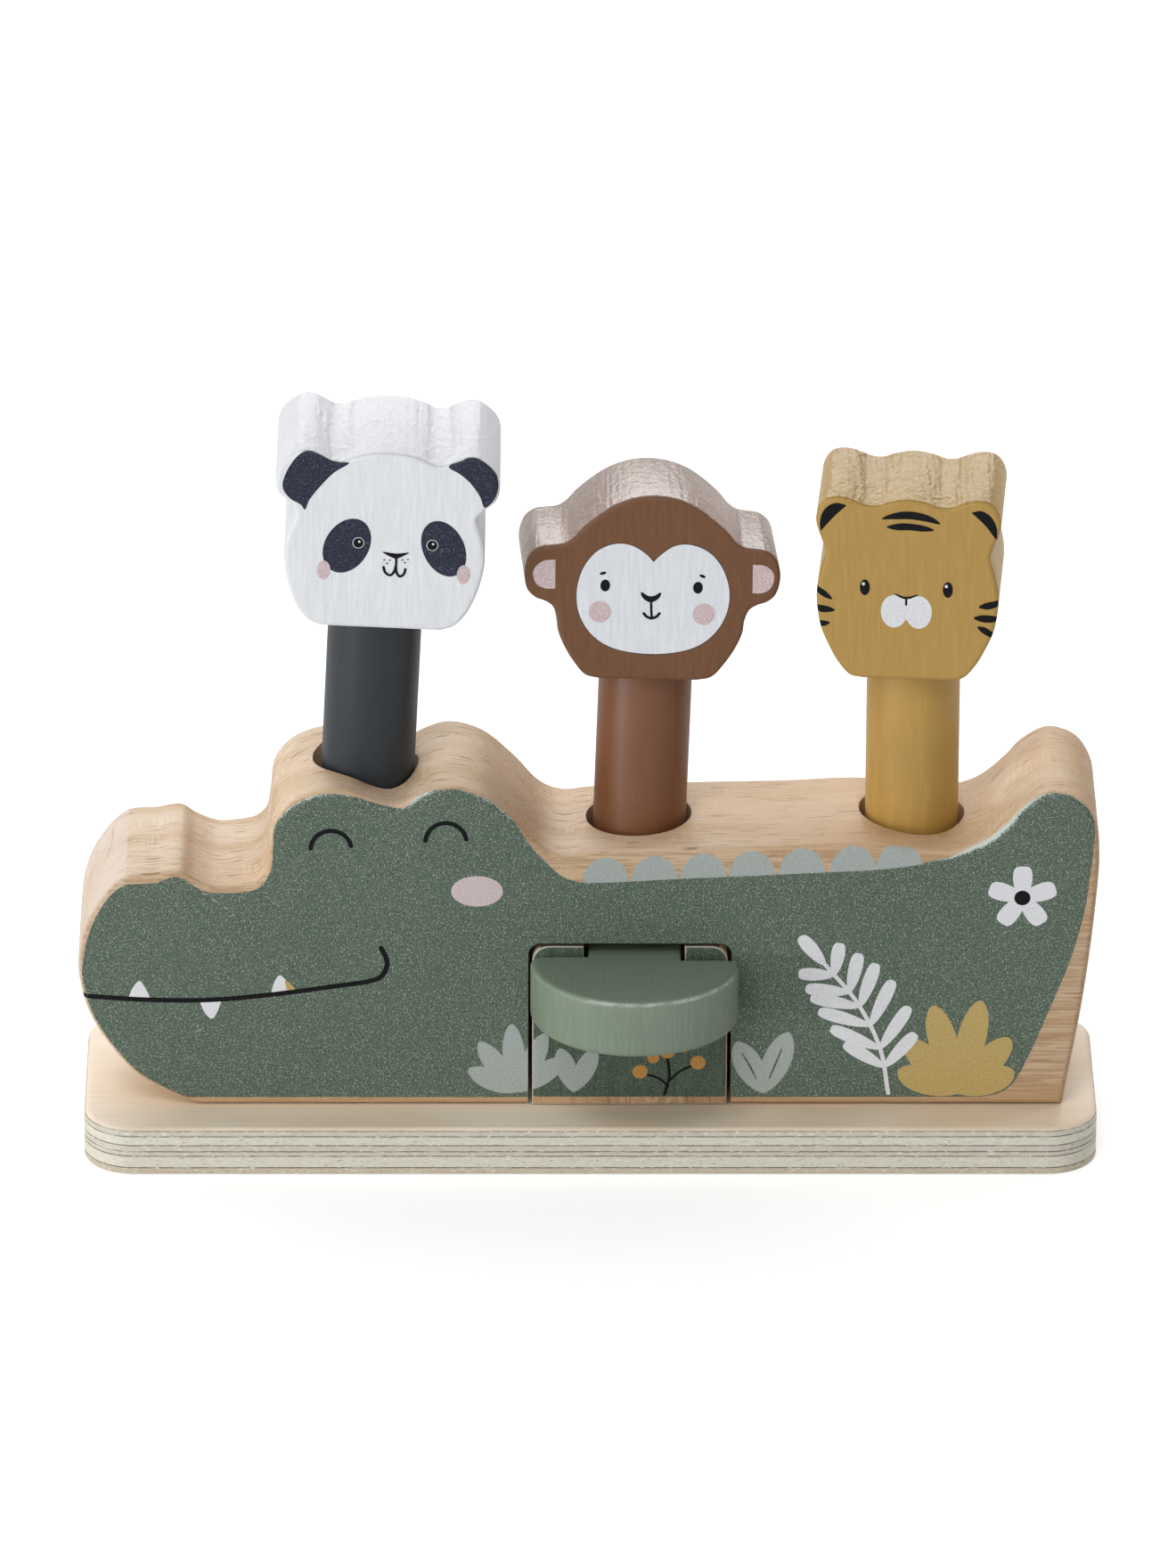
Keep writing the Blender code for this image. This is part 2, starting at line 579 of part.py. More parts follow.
def make_animal(name, hole_x, back, outline, reach, offset, lean, finishes):
    """A stick that leans in its hole, its joining peg, and the head on top.

    The stick's axis passes through the middle of its guide, halfway between the
    chamber's ceiling and the back. Its foot is the kicker gap above the kicker's dome.
    """
    forward, sideways, turn = (math.radians(angle) for angle in lean)
    guide = (CHAMBER_TOP + back) / 2
    stick_axis = axis(f"{name}_axis", (hole_x, HOLE_SETBACK, guide), (forward, sideways, 0))
    tilt = Matrix.Rotation(sideways, 3, "Y") @ Matrix.Rotation(forward, 3, "X")
    along = tilt @ Vector((0, 0, 1))
    dome = Vector((hole_x, BAR_SETBACK, BASE_TOP + KICKER_TOP - KICKER_RADIUS))
    foot = (dome - Vector((hole_x, HOLE_SETBACK, guide))).dot(along) + KICKER_RADIUS + KICKER_GAP
    chin = (back - CHAMBER_TOP) / 2 + reach
    top = chin - SEAT_GAP

    profile = rod_profile(STICK_RADIUS, foot, top, STICK_ROUNDING, STICK_TOP_ROUNDING)[:-1]
    bore = PEG_RADIUS + SEAT_GAP
    bottom = top - PEG_IN_STICK
    profile += [(bore, top), (bore, bottom), (0, bottom)]
    stick = turned(f"{name}_stick", profile, STICK_SIDES, finishes["stick"])
    stick.parent = stick_axis

    peg_low = bottom + SEAT_GAP
    peg_high = chin + PEG_IN_HEAD - SEAT_GAP
    peg = turned(f"{name}_peg",
                 rod_profile(PEG_RADIUS, peg_low, peg_high, PEG_CHAMFER, PEG_CHAMFER),
                 PIN_SIDES, finishes["peg"])
    peg.parent = stick_axis

    neck = axis(f"{name}_neck", (0, 0, chin), (0, 0, -turn), stick_axis)
    shape = [(offset + x, z) for x, z in outline]
    head = slab(f"{name}_head", shape, -HEAD_THICKNESS / 2, HEAD_THICKNESS / 2,
                finishes["head"], "Y", HEAD_ROUNDING, HEAD_ROUNDING)
    head.parent = neck
    drill(head, f"{name}_bore", 0, 0, -OVERRUN, PEG_IN_HEAD, bore)


def head_outline(half_shares, width, height):
    """A head's smooth outline, right chin to left chin, from the table of its right half."""
    right = [(width * x, height * z) for x, z in half_shares[::-1]]
    left = [(-x, z) for x, z in right[-2::-1]]
    return smooth_curve(right + left)


def build():
    """Make the whole toy."""
    for old in list(bpy.data.objects):
        bpy.data.objects.remove(old, do_unlink=True)

    beech = material("beech", (0.62, 0.44, 0.28), 0.45)
    plywood = material("birch plywood", (0.72, 0.58, 0.42), 0.55)
    plain_wood = material("plain beech", (0.60, 0.42, 0.26), 0.55)
    green = material("green paint", (0.12, 0.18, 0.13), 0.4)
    front_green = material("front panel green", (0.10, 0.145, 0.115), 0.5)
    steel = material("steel", (0.62, 0.62, 0.63), 0.3, 1.0)
    white = material("white paint", (0.74, 0.76, 0.79), 0.4)
    slate = material("slate paint", (0.035, 0.041, 0.050), 0.35)
    brown = material("brown paint", (0.12, 0.055, 0.028), 0.35)
    tan = material("tan paint", (0.22, 0.10, 0.05), 0.35)
    ochre = material("ochre paint", (0.42, 0.26, 0.09), 0.35)
    mustard = material("mustard paint", (0.50, 0.30, 0.10), 0.35)

    make_base(plywood)
    outline = make_body(beech)
    make_clevis(front_green, steel)
    make_lever(green, plain_wood)
    make_posts(plain_wood)
    for number, (x, y) in enumerate(BODY_SCREW_PLACES, 1):
        screw(f"body_screw_{number}", x, y, BODY_SCREW_LENGTH, steel)
    for number, (x, y) in enumerate(CLEVIS_SCREW_PLACES, 1):
        screw(f"block_screw_{number}", x, y, CLEVIS_SCREW_LENGTH, steel)

    backs = [back_height(outline, x) for x in HOLES_X]
    make_animal("panda", HOLES_X[0], backs[0],
                head_outline(PANDA_HALF_SHARES, PANDA_WIDTH, PANDA_HEIGHT), PANDA_REACH,
                PANDA_OFFSET, PANDA_LEAN, {"stick": slate, "peg": plain_wood, "head": white})
    make_animal("monkey", HOLES_X[1], backs[1],
                head_outline(MONKEY_HALF_SHARES, MONKEY_WIDTH, MONKEY_HEIGHT),
                MONKEY_REACH, MONKEY_OFFSET, MONKEY_LEAN,
                {"stick": tan, "peg": plain_wood, "head": brown})
    make_animal("tiger", HOLES_X[2], backs[2],
                head_outline(TIGER_HALF_SHARES, TIGER_WIDTH, TIGER_HEIGHT),
                TIGER_REACH, TIGER_OFFSET, TIGER_LEAN,
                {"stick": mustard, "peg": plain_wood, "head": ochre})


build()
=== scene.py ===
"""Looks of the wooden pop-up toy: wood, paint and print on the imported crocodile, paddle and animals."""
import math

import bpy
import numpy as np
from mathutils import Euler, Matrix, Vector
from mathutils.geometry import delaunay_2d_cdt


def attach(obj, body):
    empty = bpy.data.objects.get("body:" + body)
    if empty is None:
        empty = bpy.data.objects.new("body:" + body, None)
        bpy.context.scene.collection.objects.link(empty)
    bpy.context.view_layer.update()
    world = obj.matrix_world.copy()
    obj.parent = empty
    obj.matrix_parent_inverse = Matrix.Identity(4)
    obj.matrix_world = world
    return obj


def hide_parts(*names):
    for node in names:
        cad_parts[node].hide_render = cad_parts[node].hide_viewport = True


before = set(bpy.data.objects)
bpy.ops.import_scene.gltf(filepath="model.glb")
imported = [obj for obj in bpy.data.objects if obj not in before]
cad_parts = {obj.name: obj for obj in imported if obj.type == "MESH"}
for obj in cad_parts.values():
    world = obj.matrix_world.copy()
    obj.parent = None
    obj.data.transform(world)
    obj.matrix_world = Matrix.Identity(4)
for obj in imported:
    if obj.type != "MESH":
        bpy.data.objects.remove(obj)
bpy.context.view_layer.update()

# ---------------------------------------------------------------- sizes, in millimetres
MM = 0.001
BASE_TOP = 12.0
BLOCK_FRONT = -19.5
BLOCK_ROUND = 1.6
BLOCK_LEFT, BLOCK_LENGTH = -120.9, 240.4
BLOCK_FOOT, BLOCK_HEIGHT = 12.3, 82.7
HOLES_X = (-53.2, 11.3, 75.8)
HOLE_Y, HOLE_RADIUS = 1.6, 12.5
STICK_RADIUS = 11.0
PRESS_X, LEVER_X = 9.2, 10.2
PANEL_WIDTH, PANEL_HEIGHT, PANEL_CORNER = 46.1, 41.5, 4.0
NOTCH_HALF, NOTCH_DEPTH, NOTCH_CORNER = 11.95, 21.0, 2.0
PIVOT_Y, PIVOT_Z = -13.5, 44.7
HEAD_HALF, HEAD_ROUND = 15.0, 1.0

BLOCK_SHARES = (
    (0.114, 0.000), (0.099, 0.019), (0.082, 0.045), (0.055, 0.097), (0.029, 0.188),
    (0.010, 0.288), (0.000, 0.409), (0.000, 0.468), (0.006, 0.559), (0.014, 0.613),
    (0.034, 0.694), (0.049, 0.723), (0.074, 0.729), (0.099, 0.739), (0.114, 0.712),
    (0.135, 0.688), (0.155, 0.691), (0.172, 0.702), (0.183, 0.733), (0.187, 0.789),
    (0.191, 0.880), (0.199, 0.921), (0.211, 0.954), (0.228, 0.977), (0.249, 0.989),
    (0.269, 0.982), (0.287, 0.960), (0.306, 0.941), (0.322, 0.948), (0.336, 0.975),
    (0.363, 1.000), (0.395, 0.975), (0.426, 0.898), (0.453, 0.812), (0.474, 0.787),
    (0.502, 0.794), (0.587, 0.806), (0.692, 0.813), (0.772, 0.822), (0.851, 0.800),
    (0.883, 0.824), (0.910, 0.888), (0.927, 0.944), (0.953, 0.985), (0.980, 0.960),
    (0.996, 0.889), (1.000, 0.791), (0.998, 0.654), (0.987, 0.345), (0.968, 0.000),
)
PANDA_HALF_SHARES = (
    (0.000, 1.000), (0.085, 0.993), (0.152, 0.971), (0.202, 0.945), (0.248, 0.945),
    (0.298, 0.974), (0.346, 0.996), (0.392, 0.996), (0.442, 0.960), (0.485, 0.903),
    (0.500, 0.824), (0.485, 0.753), (0.435, 0.694), (0.406, 0.650), (0.415, 0.588),
    (0.435, 0.524), (0.448, 0.430), (0.442, 0.326), (0.419, 0.214), (0.377, 0.099),
    (0.323, 0.026), (0.265, 0.000),
)
MONKEY_HALF_SHARES = (
    (0.000, 1.000), (0.088, 0.984), (0.162, 0.944), (0.223, 0.888), (0.282, 0.819),
    (0.320, 0.761), (0.353, 0.732), (0.398, 0.723), (0.443, 0.712), (0.480, 0.672),
    (0.498, 0.609), (0.500, 0.545), (0.485, 0.473), (0.453, 0.433), (0.413, 0.413),
    (0.385, 0.386), (0.368, 0.328), (0.362, 0.263), (0.337, 0.179), (0.293, 0.085),
    (0.247, 0.018), (0.192, 0.000),
)
TIGER_HALF_SHARES = (
    (0.000, 0.996), (0.109, 0.978), (0.166, 0.959), (0.224, 0.959), (0.284, 0.980),
    (0.344, 0.998), (0.404, 1.000), (0.450, 0.983), (0.487, 0.934), (0.500, 0.873),
    (0.485, 0.808), (0.462, 0.747), (0.446, 0.690), (0.460, 0.629), (0.480, 0.557),
    (0.492, 0.472), (0.487, 0.378), (0.467, 0.275), (0.427, 0.181), (0.370, 0.081),
    (0.305, 0.013), (0.236, 0.000),
)
# Each animal: hole, middle of its guide, neck above that, face offset, head width and
# height, lean forwards and sideways and turn in degrees, and the table of its head.
ANIMALS = {
    "panda": (HOLES_X[0], 79.138, 57.536, 1.4, 52.2, 46.2, (4.6, 2.6, 0.3), PANDA_HALF_SHARES),
    "monkey": (HOLES_X[1], 72.290, 44.490, -0.3, 60.0, 45.4, (-5.6, 2.05, -2.3), MONKEY_HALF_SHARES),
    "tiger": (HOLES_X[2], 72.537, 47.638, -1.0, 43.3, 46.1, (0.3, 0.0, 4.5), TIGER_HALF_SHARES),
}


# ---------------------------------------------------------------- flat shapes
def flowing(points, steps=6):
    """A centripetal Catmull-Rom curve through the points, `steps` to a span.

    Knots are t1 = t0 + sqrt(|p1 - p0|), and every level blends its neighbours:
    A = ((tb - t) a + (t - ta) b) / (tb - ta), then the same again on the As and the Bs.
    """
    points = np.asarray(points, float)
    ring = np.vstack([2 * points[0] - points[1], points, 2 * points[-1] - points[-2]])
    a, b, c, d = (ring[i:len(ring) - 3 + i] for i in range(4))
    ta = np.zeros(len(a))
    tb = ta + np.sqrt(np.linalg.norm(b - a, axis=1))
    tc = tb + np.sqrt(np.linalg.norm(c - b, axis=1))
    td = tc + np.sqrt(np.linalg.norm(d - c, axis=1))
    t = tb[:, None] + (tc - tb)[:, None] * np.arange(steps) / steps

    def blend(p, q, tp, tq):
        share = ((t - tp[:, None]) / (tq - tp)[:, None])[..., None]
        return (1 - share) * p + share * q

    ab = blend(a[:, None], b[:, None], ta, tb)
    bc = blend(b[:, None], c[:, None], tb, tc)
    cd = blend(c[:, None], d[:, None], tc, td)
    abc, bcd = blend(ab, bc, ta, tc), blend(bc, cd, tb, td)
    return np.vstack([blend(abc, bcd, tb, tc).reshape(-1, 2), points[-1:]])


def closed(points, steps=6):
    """The same curve round a closed shape: the table is wrapped by three points."""
    points = np.asarray(points, float)
    wrapped = np.vstack([points[-3:], points, points[:3]])
    return flowing(wrapped, steps)[3 * steps:-2 * steps - 1]


def oval(centre, radii, turn=0.0, start=0.0, end=360.0, count=48):
    """Points c + R(turn) (rx cos a, ry sin a), a from start to end degrees."""
    whole = abs(end - start) >= 360
    angles = np.radians(np.linspace(start, end, count, endpoint=not whole))
    x, y = radii[0] * np.cos(angles), radii[1] * np.sin(angles)
    c, s = math.cos(math.radians(turn)), math.sin(math.radians(turn))
    return np.stack([centre[0] + c * x - s * y, centre[1] + s * x + c * y], 1)


def plate_outline(left, right, low, high, radius, steps=12):
    """A rectangle with round corners, anticlockwise."""
    corners = ((right - radius, high - radius, 0), (left + radius, high - radius, 90),
               (left + radius, low + radius, 180), (right - radius, low + radius, 270))
    return np.vstack([oval((x, y), (radius, radius), 0, a, a + 90, steps) for x, y, a in corners])


def stroke(points, width, steps=8, taper=0.0):
    """A brush line: the curve offset by +-width/2 along its normal, round at both ends.

    taper narrows it towards the ends: half = width/2 (1 - taper (2s - 1)^2).
    """
    line = flowing(points, steps)
    ahead = np.gradient(line, axis=0)
    ahead /= np.linalg.norm(ahead, axis=1)[:, None]
    side = np.stack([-ahead[:, 1], ahead[:, 0]], 1)
    share = np.linspace(-1, 1, len(line))
    half = (width / 2 * (1 - taper * share ** 2))[:, None]
    bow = np.radians(np.linspace(90, -90, 9))[1:-1, None]
    tip = line[-1] + half[-1] * (np.sin(bow) * side[-1] + np.cos(bow) * ahead[-1])
    tail = line[0] + half[0] * (-np.sin(bow) * side[0] - np.cos(bow) * ahead[0])
    return np.vstack([line + half * side, tip, (line - half * side)[::-1], tail])


def leaf(foot, tip, width, belly=0.5, point=1.0):
    """A leaf from foot to tip: half-width w s^p (1 - s)^q, scaled to `width` at its widest.

    belly places the widest spot along the leaf, point below 1 rounds its tip.
    """
    foot, tip = np.asarray(foot, float), np.asarray(tip, float)
    s = (1 - np.cos(np.linspace(0, math.pi, 26))) / 2
    p, q = point * belly / (1 - belly) if belly < 0.5 else point, point
    if belly >= 0.5:
        p, q = point, point * (1 - belly) / belly
    shape = s ** p * (1 - s) ** q
    shape *= width / 2 / shape.max()
    along = tip - foot
    side = np.array([-along[1], along[0]]) / np.linalg.norm(along)
    middle = foot + s[:, None] * along
    return np.vstack([middle - shape[:, None] * side, (middle + shape[:, None] * side)[-2:0:-1]])


def turned_area(points):
    """Twice the signed area, sum x_i y_(i+1) - x_(i+1) y_i: positive is anticlockwise."""
    x, y = points[:, 0], points[:, 1]
    return np.sum(x * np.roll(y, -1) - np.roll(x, -1) * y)


def inset(points, distance):
    """The outline moved inwards: p - d (n1 + n2) / (1 + n1.n2), n outward normals."""
    ahead = np.roll(points, -1, axis=0) - points
    ahead = ahead / np.maximum(np.linalg.norm(ahead, axis=1), 1e-9)[:, None]
    normal = np.stack([ahead[:, 1], -ahead[:, 0]], 1) * np.sign(turned_area(points))
    before = np.roll(normal, 1, axis=0)
    return points - distance * (before + normal) / np.maximum(1 + np.sum(before * normal, 1), 0.02)[:, None]


def distance_to(points, outline):
    """Distance of every point to the closed outline, the nearest spot, and how far up that side faces."""
    start, end = outline, np.roll(outline, -1, axis=0)
    along = end - start
    length = np.maximum(np.sum(along ** 2, 1), 1e-12)
    rel = points[:, None] - start[None]
    share = np.clip(np.sum(rel * along[None], 2) / length, 0, 1)
    spots = start[None] + share[..., None] * along[None]
    gap = np.linalg.norm(points[:, None] - spots, axis=2)
    near = gap.argmin(1)
    rows = np.arange(len(points))
    upward = -along[:, 0] / np.sqrt(length) * np.sign(turned_area(outline))
    return gap[rows, near], spots[rows, near], upward[near]


def evenly(points, most=1.2):
    """The closed outline with every long side cut into equal parts no longer than `most`."""
    along = np.roll(points, -1, axis=0) - points
    parts = np.maximum(np.ceil(np.linalg.norm(along, axis=1) / most).astype(int), 1)
    first = np.repeat(np.cumsum(parts) - parts, parts)
    share = (np.arange(parts.sum()) - first) / np.repeat(parts, parts)
    return np.repeat(points, parts, axis=0) + share[:, None] * np.repeat(along, parts, axis=0)


def within(points, outline):
    """Whether each point lies inside: how often a ray to the right crosses the sides, odd or even."""
    (ax, ay), (bx, by) = outline.T[:, None], np.roll(outline, -1, axis=0).T[:, None]
    x, y = points[:, :1], points[:, 1:]
    cuts = ((ay > y) != (by > y)) & (x < (bx - ax) * (y - ay) / np.where(by == ay, 1, by - ay) + ax)
    return cuts.sum(1) % 2 == 1


def held_in(points, outline, margin):
    """Points outside the outline's inset go to its nearest spot."""
    limit = inset(outline, margin)
    out = ~within(points, limit)
    kept = points.copy()
    if out.any():
        kept[out] = distance_to(points[out], limit)[1]
    return kept


def trimmed(points, edge, axis, keep_low):
    """What is left of a shape on one side of the line where coordinate `axis` equals `edge`."""
    over = (edge - points[:, axis]) * (1 if keep_low else -1)
    kept = []
    for here, there, a, b in zip(points, np.roll(points, -1, axis=0), over, np.roll(over, -1)):
        if a >= 0:
            kept.append(here)
        if (a >= 0) != (b >= 0):
            kept.append(here + a / (a - b) * (there - here))
    return np.array(kept)


# ---------------------------------------------------------------- solids and skins
def piece_from(name, vertices, faces, finish, body, flat=()):
    """A named piece in metres at the origin, smooth but for the faces numbered in `flat`."""
    mesh = bpy.data.meshes.new(name)
    mesh.from_pydata((np.asarray(vertices) * MM).tolist(), [], faces)
    smooth = np.ones(len(mesh.polygons), bool)
    smooth[list(flat)] = False
    mesh.polygons.foreach_set("use_smooth", smooth)
    mesh.materials.append(finish)
    mesh.validate()
    made = bpy.data.objects.new(name, mesh)
    bpy.context.scene.collection.objects.link(made)
    if body:
        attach(made, body)
    return made


def slab(name, outline, low, high, rounds, finish, body, along="Y", steps=6, place=None):
    """An outline pushed along an axis, its two rims rounded by r: inset r(1 - sin a),
    depth r(1 - cos a), a from 0 to 90 degrees. The two ends are flat faces."""
    if turned_area(outline) < 0:
        outline = outline[::-1]
    angles = np.linspace(0, math.pi / 2, steps + 1)
    rings, levels = [], []
    for edge, radius, inward in ((low, rounds[0], 1), (high, rounds[1], -1)):
        turn = angles if radius else angles[-1:]
        part = [inset(outline, radius * (1 - math.sin(a))) for a in turn]
        deep = [edge + inward * radius * (1 - math.cos(a)) for a in turn]
        rings += part if inward > 0 else part[::-1]
        levels += deep if inward > 0 else deep[::-1]
    rings, levels = np.array(rings), np.array(levels)
    count, n = rings.shape[:2]
    level = np.broadcast_to(levels[:, None], (count, n))
    if along == "Y":
        grid = np.stack([rings[..., 0], level, rings[..., 1]], 2)
    elif along == "Z":
        grid = np.stack([rings[..., 0], rings[..., 1], level], 2)
    else:
        grid = np.stack([level, rings[..., 0], rings[..., 1]], 2)
    vertices = grid.reshape(-1, 3)
    i, j = np.meshgrid(np.arange(count - 1), np.arange(n), indexing="ij")
    k = (j + 1) % n
    quads = np.stack([i * n + j, i * n + k, (i + 1) * n + k, (i + 1) * n + j], 2).reshape(-1, 4)
    first, last = np.arange(n)[::-1], (count - 1) * n + np.arange(n)
    if along == "Y":
        quads, first, last = quads[:, ::-1], first[::-1], last[::-1]
    faces = quads.tolist() + [first.tolist(), last.tolist()]
    if place is not None:
        vertices = place(vertices)
    return piece_from(name, vertices, faces, finish, body, (len(faces) - 2, len(faces) - 1))


def turned(name, profile, finish, body, place=None, sides=96):
    """A profile of (radius, height) turned about Z: (r cos a, r sin a, h)."""
    profile = np.array(profile, float)
    angles = 2 * math.pi * np.arange(sides) / sides
    middle = profile[:, 0] > 0
    rows = profile[middle]
    grid = np.stack([rows[:, :1] * np.cos(angles), rows[:, :1] * np.sin(angles),
                     np.repeat(rows[:, 1:], sides, 1)], 2)
    ends = np.array([[0, 0, profile[0, 1]], [0, 0, profile[-1, 1]]])
    vertices = np.vstack([grid.reshape(-1, 3), ends])
    i, j = np.meshgrid(np.arange(len(rows) - 1), np.arange(sides), indexing="ij")
    k = (j + 1) % sides
    quads = np.stack([i * sides + j, i * sides + k, (i + 1) * sides + k,
                      (i + 1) * sides + j], 2).reshape(-1, 4).tolist()
    j = np.arange(sides)
    k = (j + 1) % sides
    low, high = len(rows) * sides, len(rows) * sides + 1
    top = (len(rows) - 1) * sides
    fans = np.stack([np.full(sides, low), k, j], 1).tolist()
    fans += np.stack([np.full(sides, high), top + j, top + k], 1).tolist()
    if place is not None:
        vertices = place(vertices)
    return piece_from(name, vertices, quads + fans, finish, body,
                      range(len(quads), len(quads) + 2 * sides))


def cut_away(piece, cutters, rim=0.0):
    """Take the cutters out of a piece one after another, soften the new rims, then fix the mesh."""
    for cutter in cutters:
        boolean = piece.modifiers.new(cutter.name, "BOOLEAN")
        boolean.operation, boolean.solver, boolean.object = "DIFFERENCE", "EXACT", cutter
    if rim:
        bevel = piece.modifiers.new("rim", "BEVEL")
        bevel.width, bevel.segments, bevel.limit_method = rim * MM, 2, "ANGLE"
        bevel.angle_limit = math.radians(50)
        bevel.harden_normals = False
    graph = bpy.context.evaluated_depsgraph_get()
    graph.update()
    fixed = bpy.data.meshes.new_from_object(piece.evaluated_get(graph), depsgraph=graph)
    fixed.name = piece.name
    piece.modifiers.clear()
    piece.data = fixed
    for cutter in cutters:
        bpy.data.objects.remove(cutter)
    fixed.set_sharp_from_angle(angle=math.radians(35))
    return piece


def skin(name, outlines, finish, body, host, lift, radius, front, place=None, edge_wear_and_glint=0.0):
    """Printed patches on a flat front face that fold over the face's rounded rim.

    Depth behind the face: r - sqrt(r^2 - (r - d)^2) where the host's edge is nearer than
    r, d being the distance to it. Every point keeps its distance to the patch's own rim
    in "rim", and in a second attribute how pale that rim is: worn print, and painted
    highlight where the rim faces up.
    """
    vertices, faces, rims, wears_and_glints, count = [], [], [], [], 0
    for number, outline in enumerate(outlines):
        outline = held_in(np.asarray(outline, float), host, 0.08)
        outline = evenly(outline[np.linalg.norm(np.roll(outline, -1, axis=0) - outline, axis=1) > 1e-4])
        if turned_area(outline) < 0:
            outline = outline[::-1]
        inner = []
        for depth in (0.3, 0.65, 1.1, 1.8):
            ring = inset(outline, depth)
            ring = ring[np.isfinite(ring).all(1)]
            inner.append(ring[distance_to(ring, outline)[0] > 0.9 * depth])
        points = np.vstack([outline] + inner)
        points = points[:len(outline)].tolist() + points[len(outline):][within(points[len(outline):], outline)].tolist()
        made = delaunay_2d_cdt([Vector(p) for p in points], [], [list(range(len(outline)))], 1, 1e-5)
        flat = np.array([tuple(p) for p in made[0]])
        triangles = np.array([list(f) for f in made[2]])
        a, b, c = (flat[triangles[:, i]] for i in range(3))
        area = (b[:, 0] - a[:, 0]) * (c[:, 1] - a[:, 1]) - (c[:, 0] - a[:, 0]) * (b[:, 1] - a[:, 1])
        triangles, area = triangles[np.abs(area) > 1e-7], area[np.abs(area) > 1e-7]
        triangles[area < 0] = triangles[area < 0][:, ::-1]
        used, back = np.unique(triangles, return_inverse=True)
        flat, triangles = flat[used], back.reshape(triangles.shape)
        near = distance_to(flat, host)[0]
        bent = np.clip(radius - near, 0, radius * 0.999)
        depth = radius - np.sqrt(radius ** 2 - bent ** 2)
        vertices.append(np.stack([flat[:, 0], front + depth - lift - 0.004 * number, flat[:, 1]], 1))
        faces += (triangles + count).tolist()
        count += len(flat)
        rim, _, upward = distance_to(flat, outline)
        rims.append(rim)
        # Pale edge share: worn print, and painted highlight on rims that face up.
        share = edge_wear_and_glint(flat) if callable(edge_wear_and_glint) else edge_wear_and_glint
        wears_and_glints.append(share * np.exp(-rim / 0.9) * np.clip(upward * 1.8 - 0.2, 0, 1))
    vertices = np.vstack(vertices)
    if place is not None:
        vertices = place(vertices)
    made = piece_from(name, vertices, faces, finish, body)
    for label, values in (("rim", rims), ("wear", wears_and_glints)):
        layer = made.data.attributes.new(label, "FLOAT", "POINT")
        layer.data.foreach_set("value", np.concatenate(values).astype(np.float32))
    return made


# ---------------------------------------------------------------- finishes
def screen(red, green, blue):
    """Linear colour of a 0-255 screen colour: ((c + 0.055) / 1.055)^2.4."""
    c = np.array([red, green, blue]) / 255
    return tuple(float(x) for x in np.where(c > 0.04045, ((c + 0.055) / 1.055) ** 2.4, c / 12.92))


class Wire:
    """A value in a finish's nodes. Arithmetic on it adds Math nodes."""

    def __init__(self, finish, socket):
        self.finish, self.socket = finish, socket

    def math(self, operation, *others, **settings):
        values = dict(enumerate((self, *others)))
        return self.finish.node("ShaderNodeMath", {"operation": operation, **settings}, values)

    def __add__(self, other):
        return self.math("ADD", other)

    def __sub__(self, other):
        return self.math("SUBTRACT", other)

    def __rsub__(self, other):
        return self.finish.node("ShaderNodeMath", {"operation": "SUBTRACT"}, {0: other, 1: self})

    def __mul__(self, other):
        return self.math("MULTIPLY", other)

    def __truediv__(self, other):
        return self.math("DIVIDE", other)

    __radd__ = __add__
    __rmul__ = __mul__

    def between(self, low, high):
        """0 up to low, 1 from high on, and s-shaped in between."""
        values = {"Value": self, "From Min": low, "From Max": high}
        return self.finish.node("ShaderNodeMapRange", {"interpolation_type": "SMOOTHSTEP"}, values)


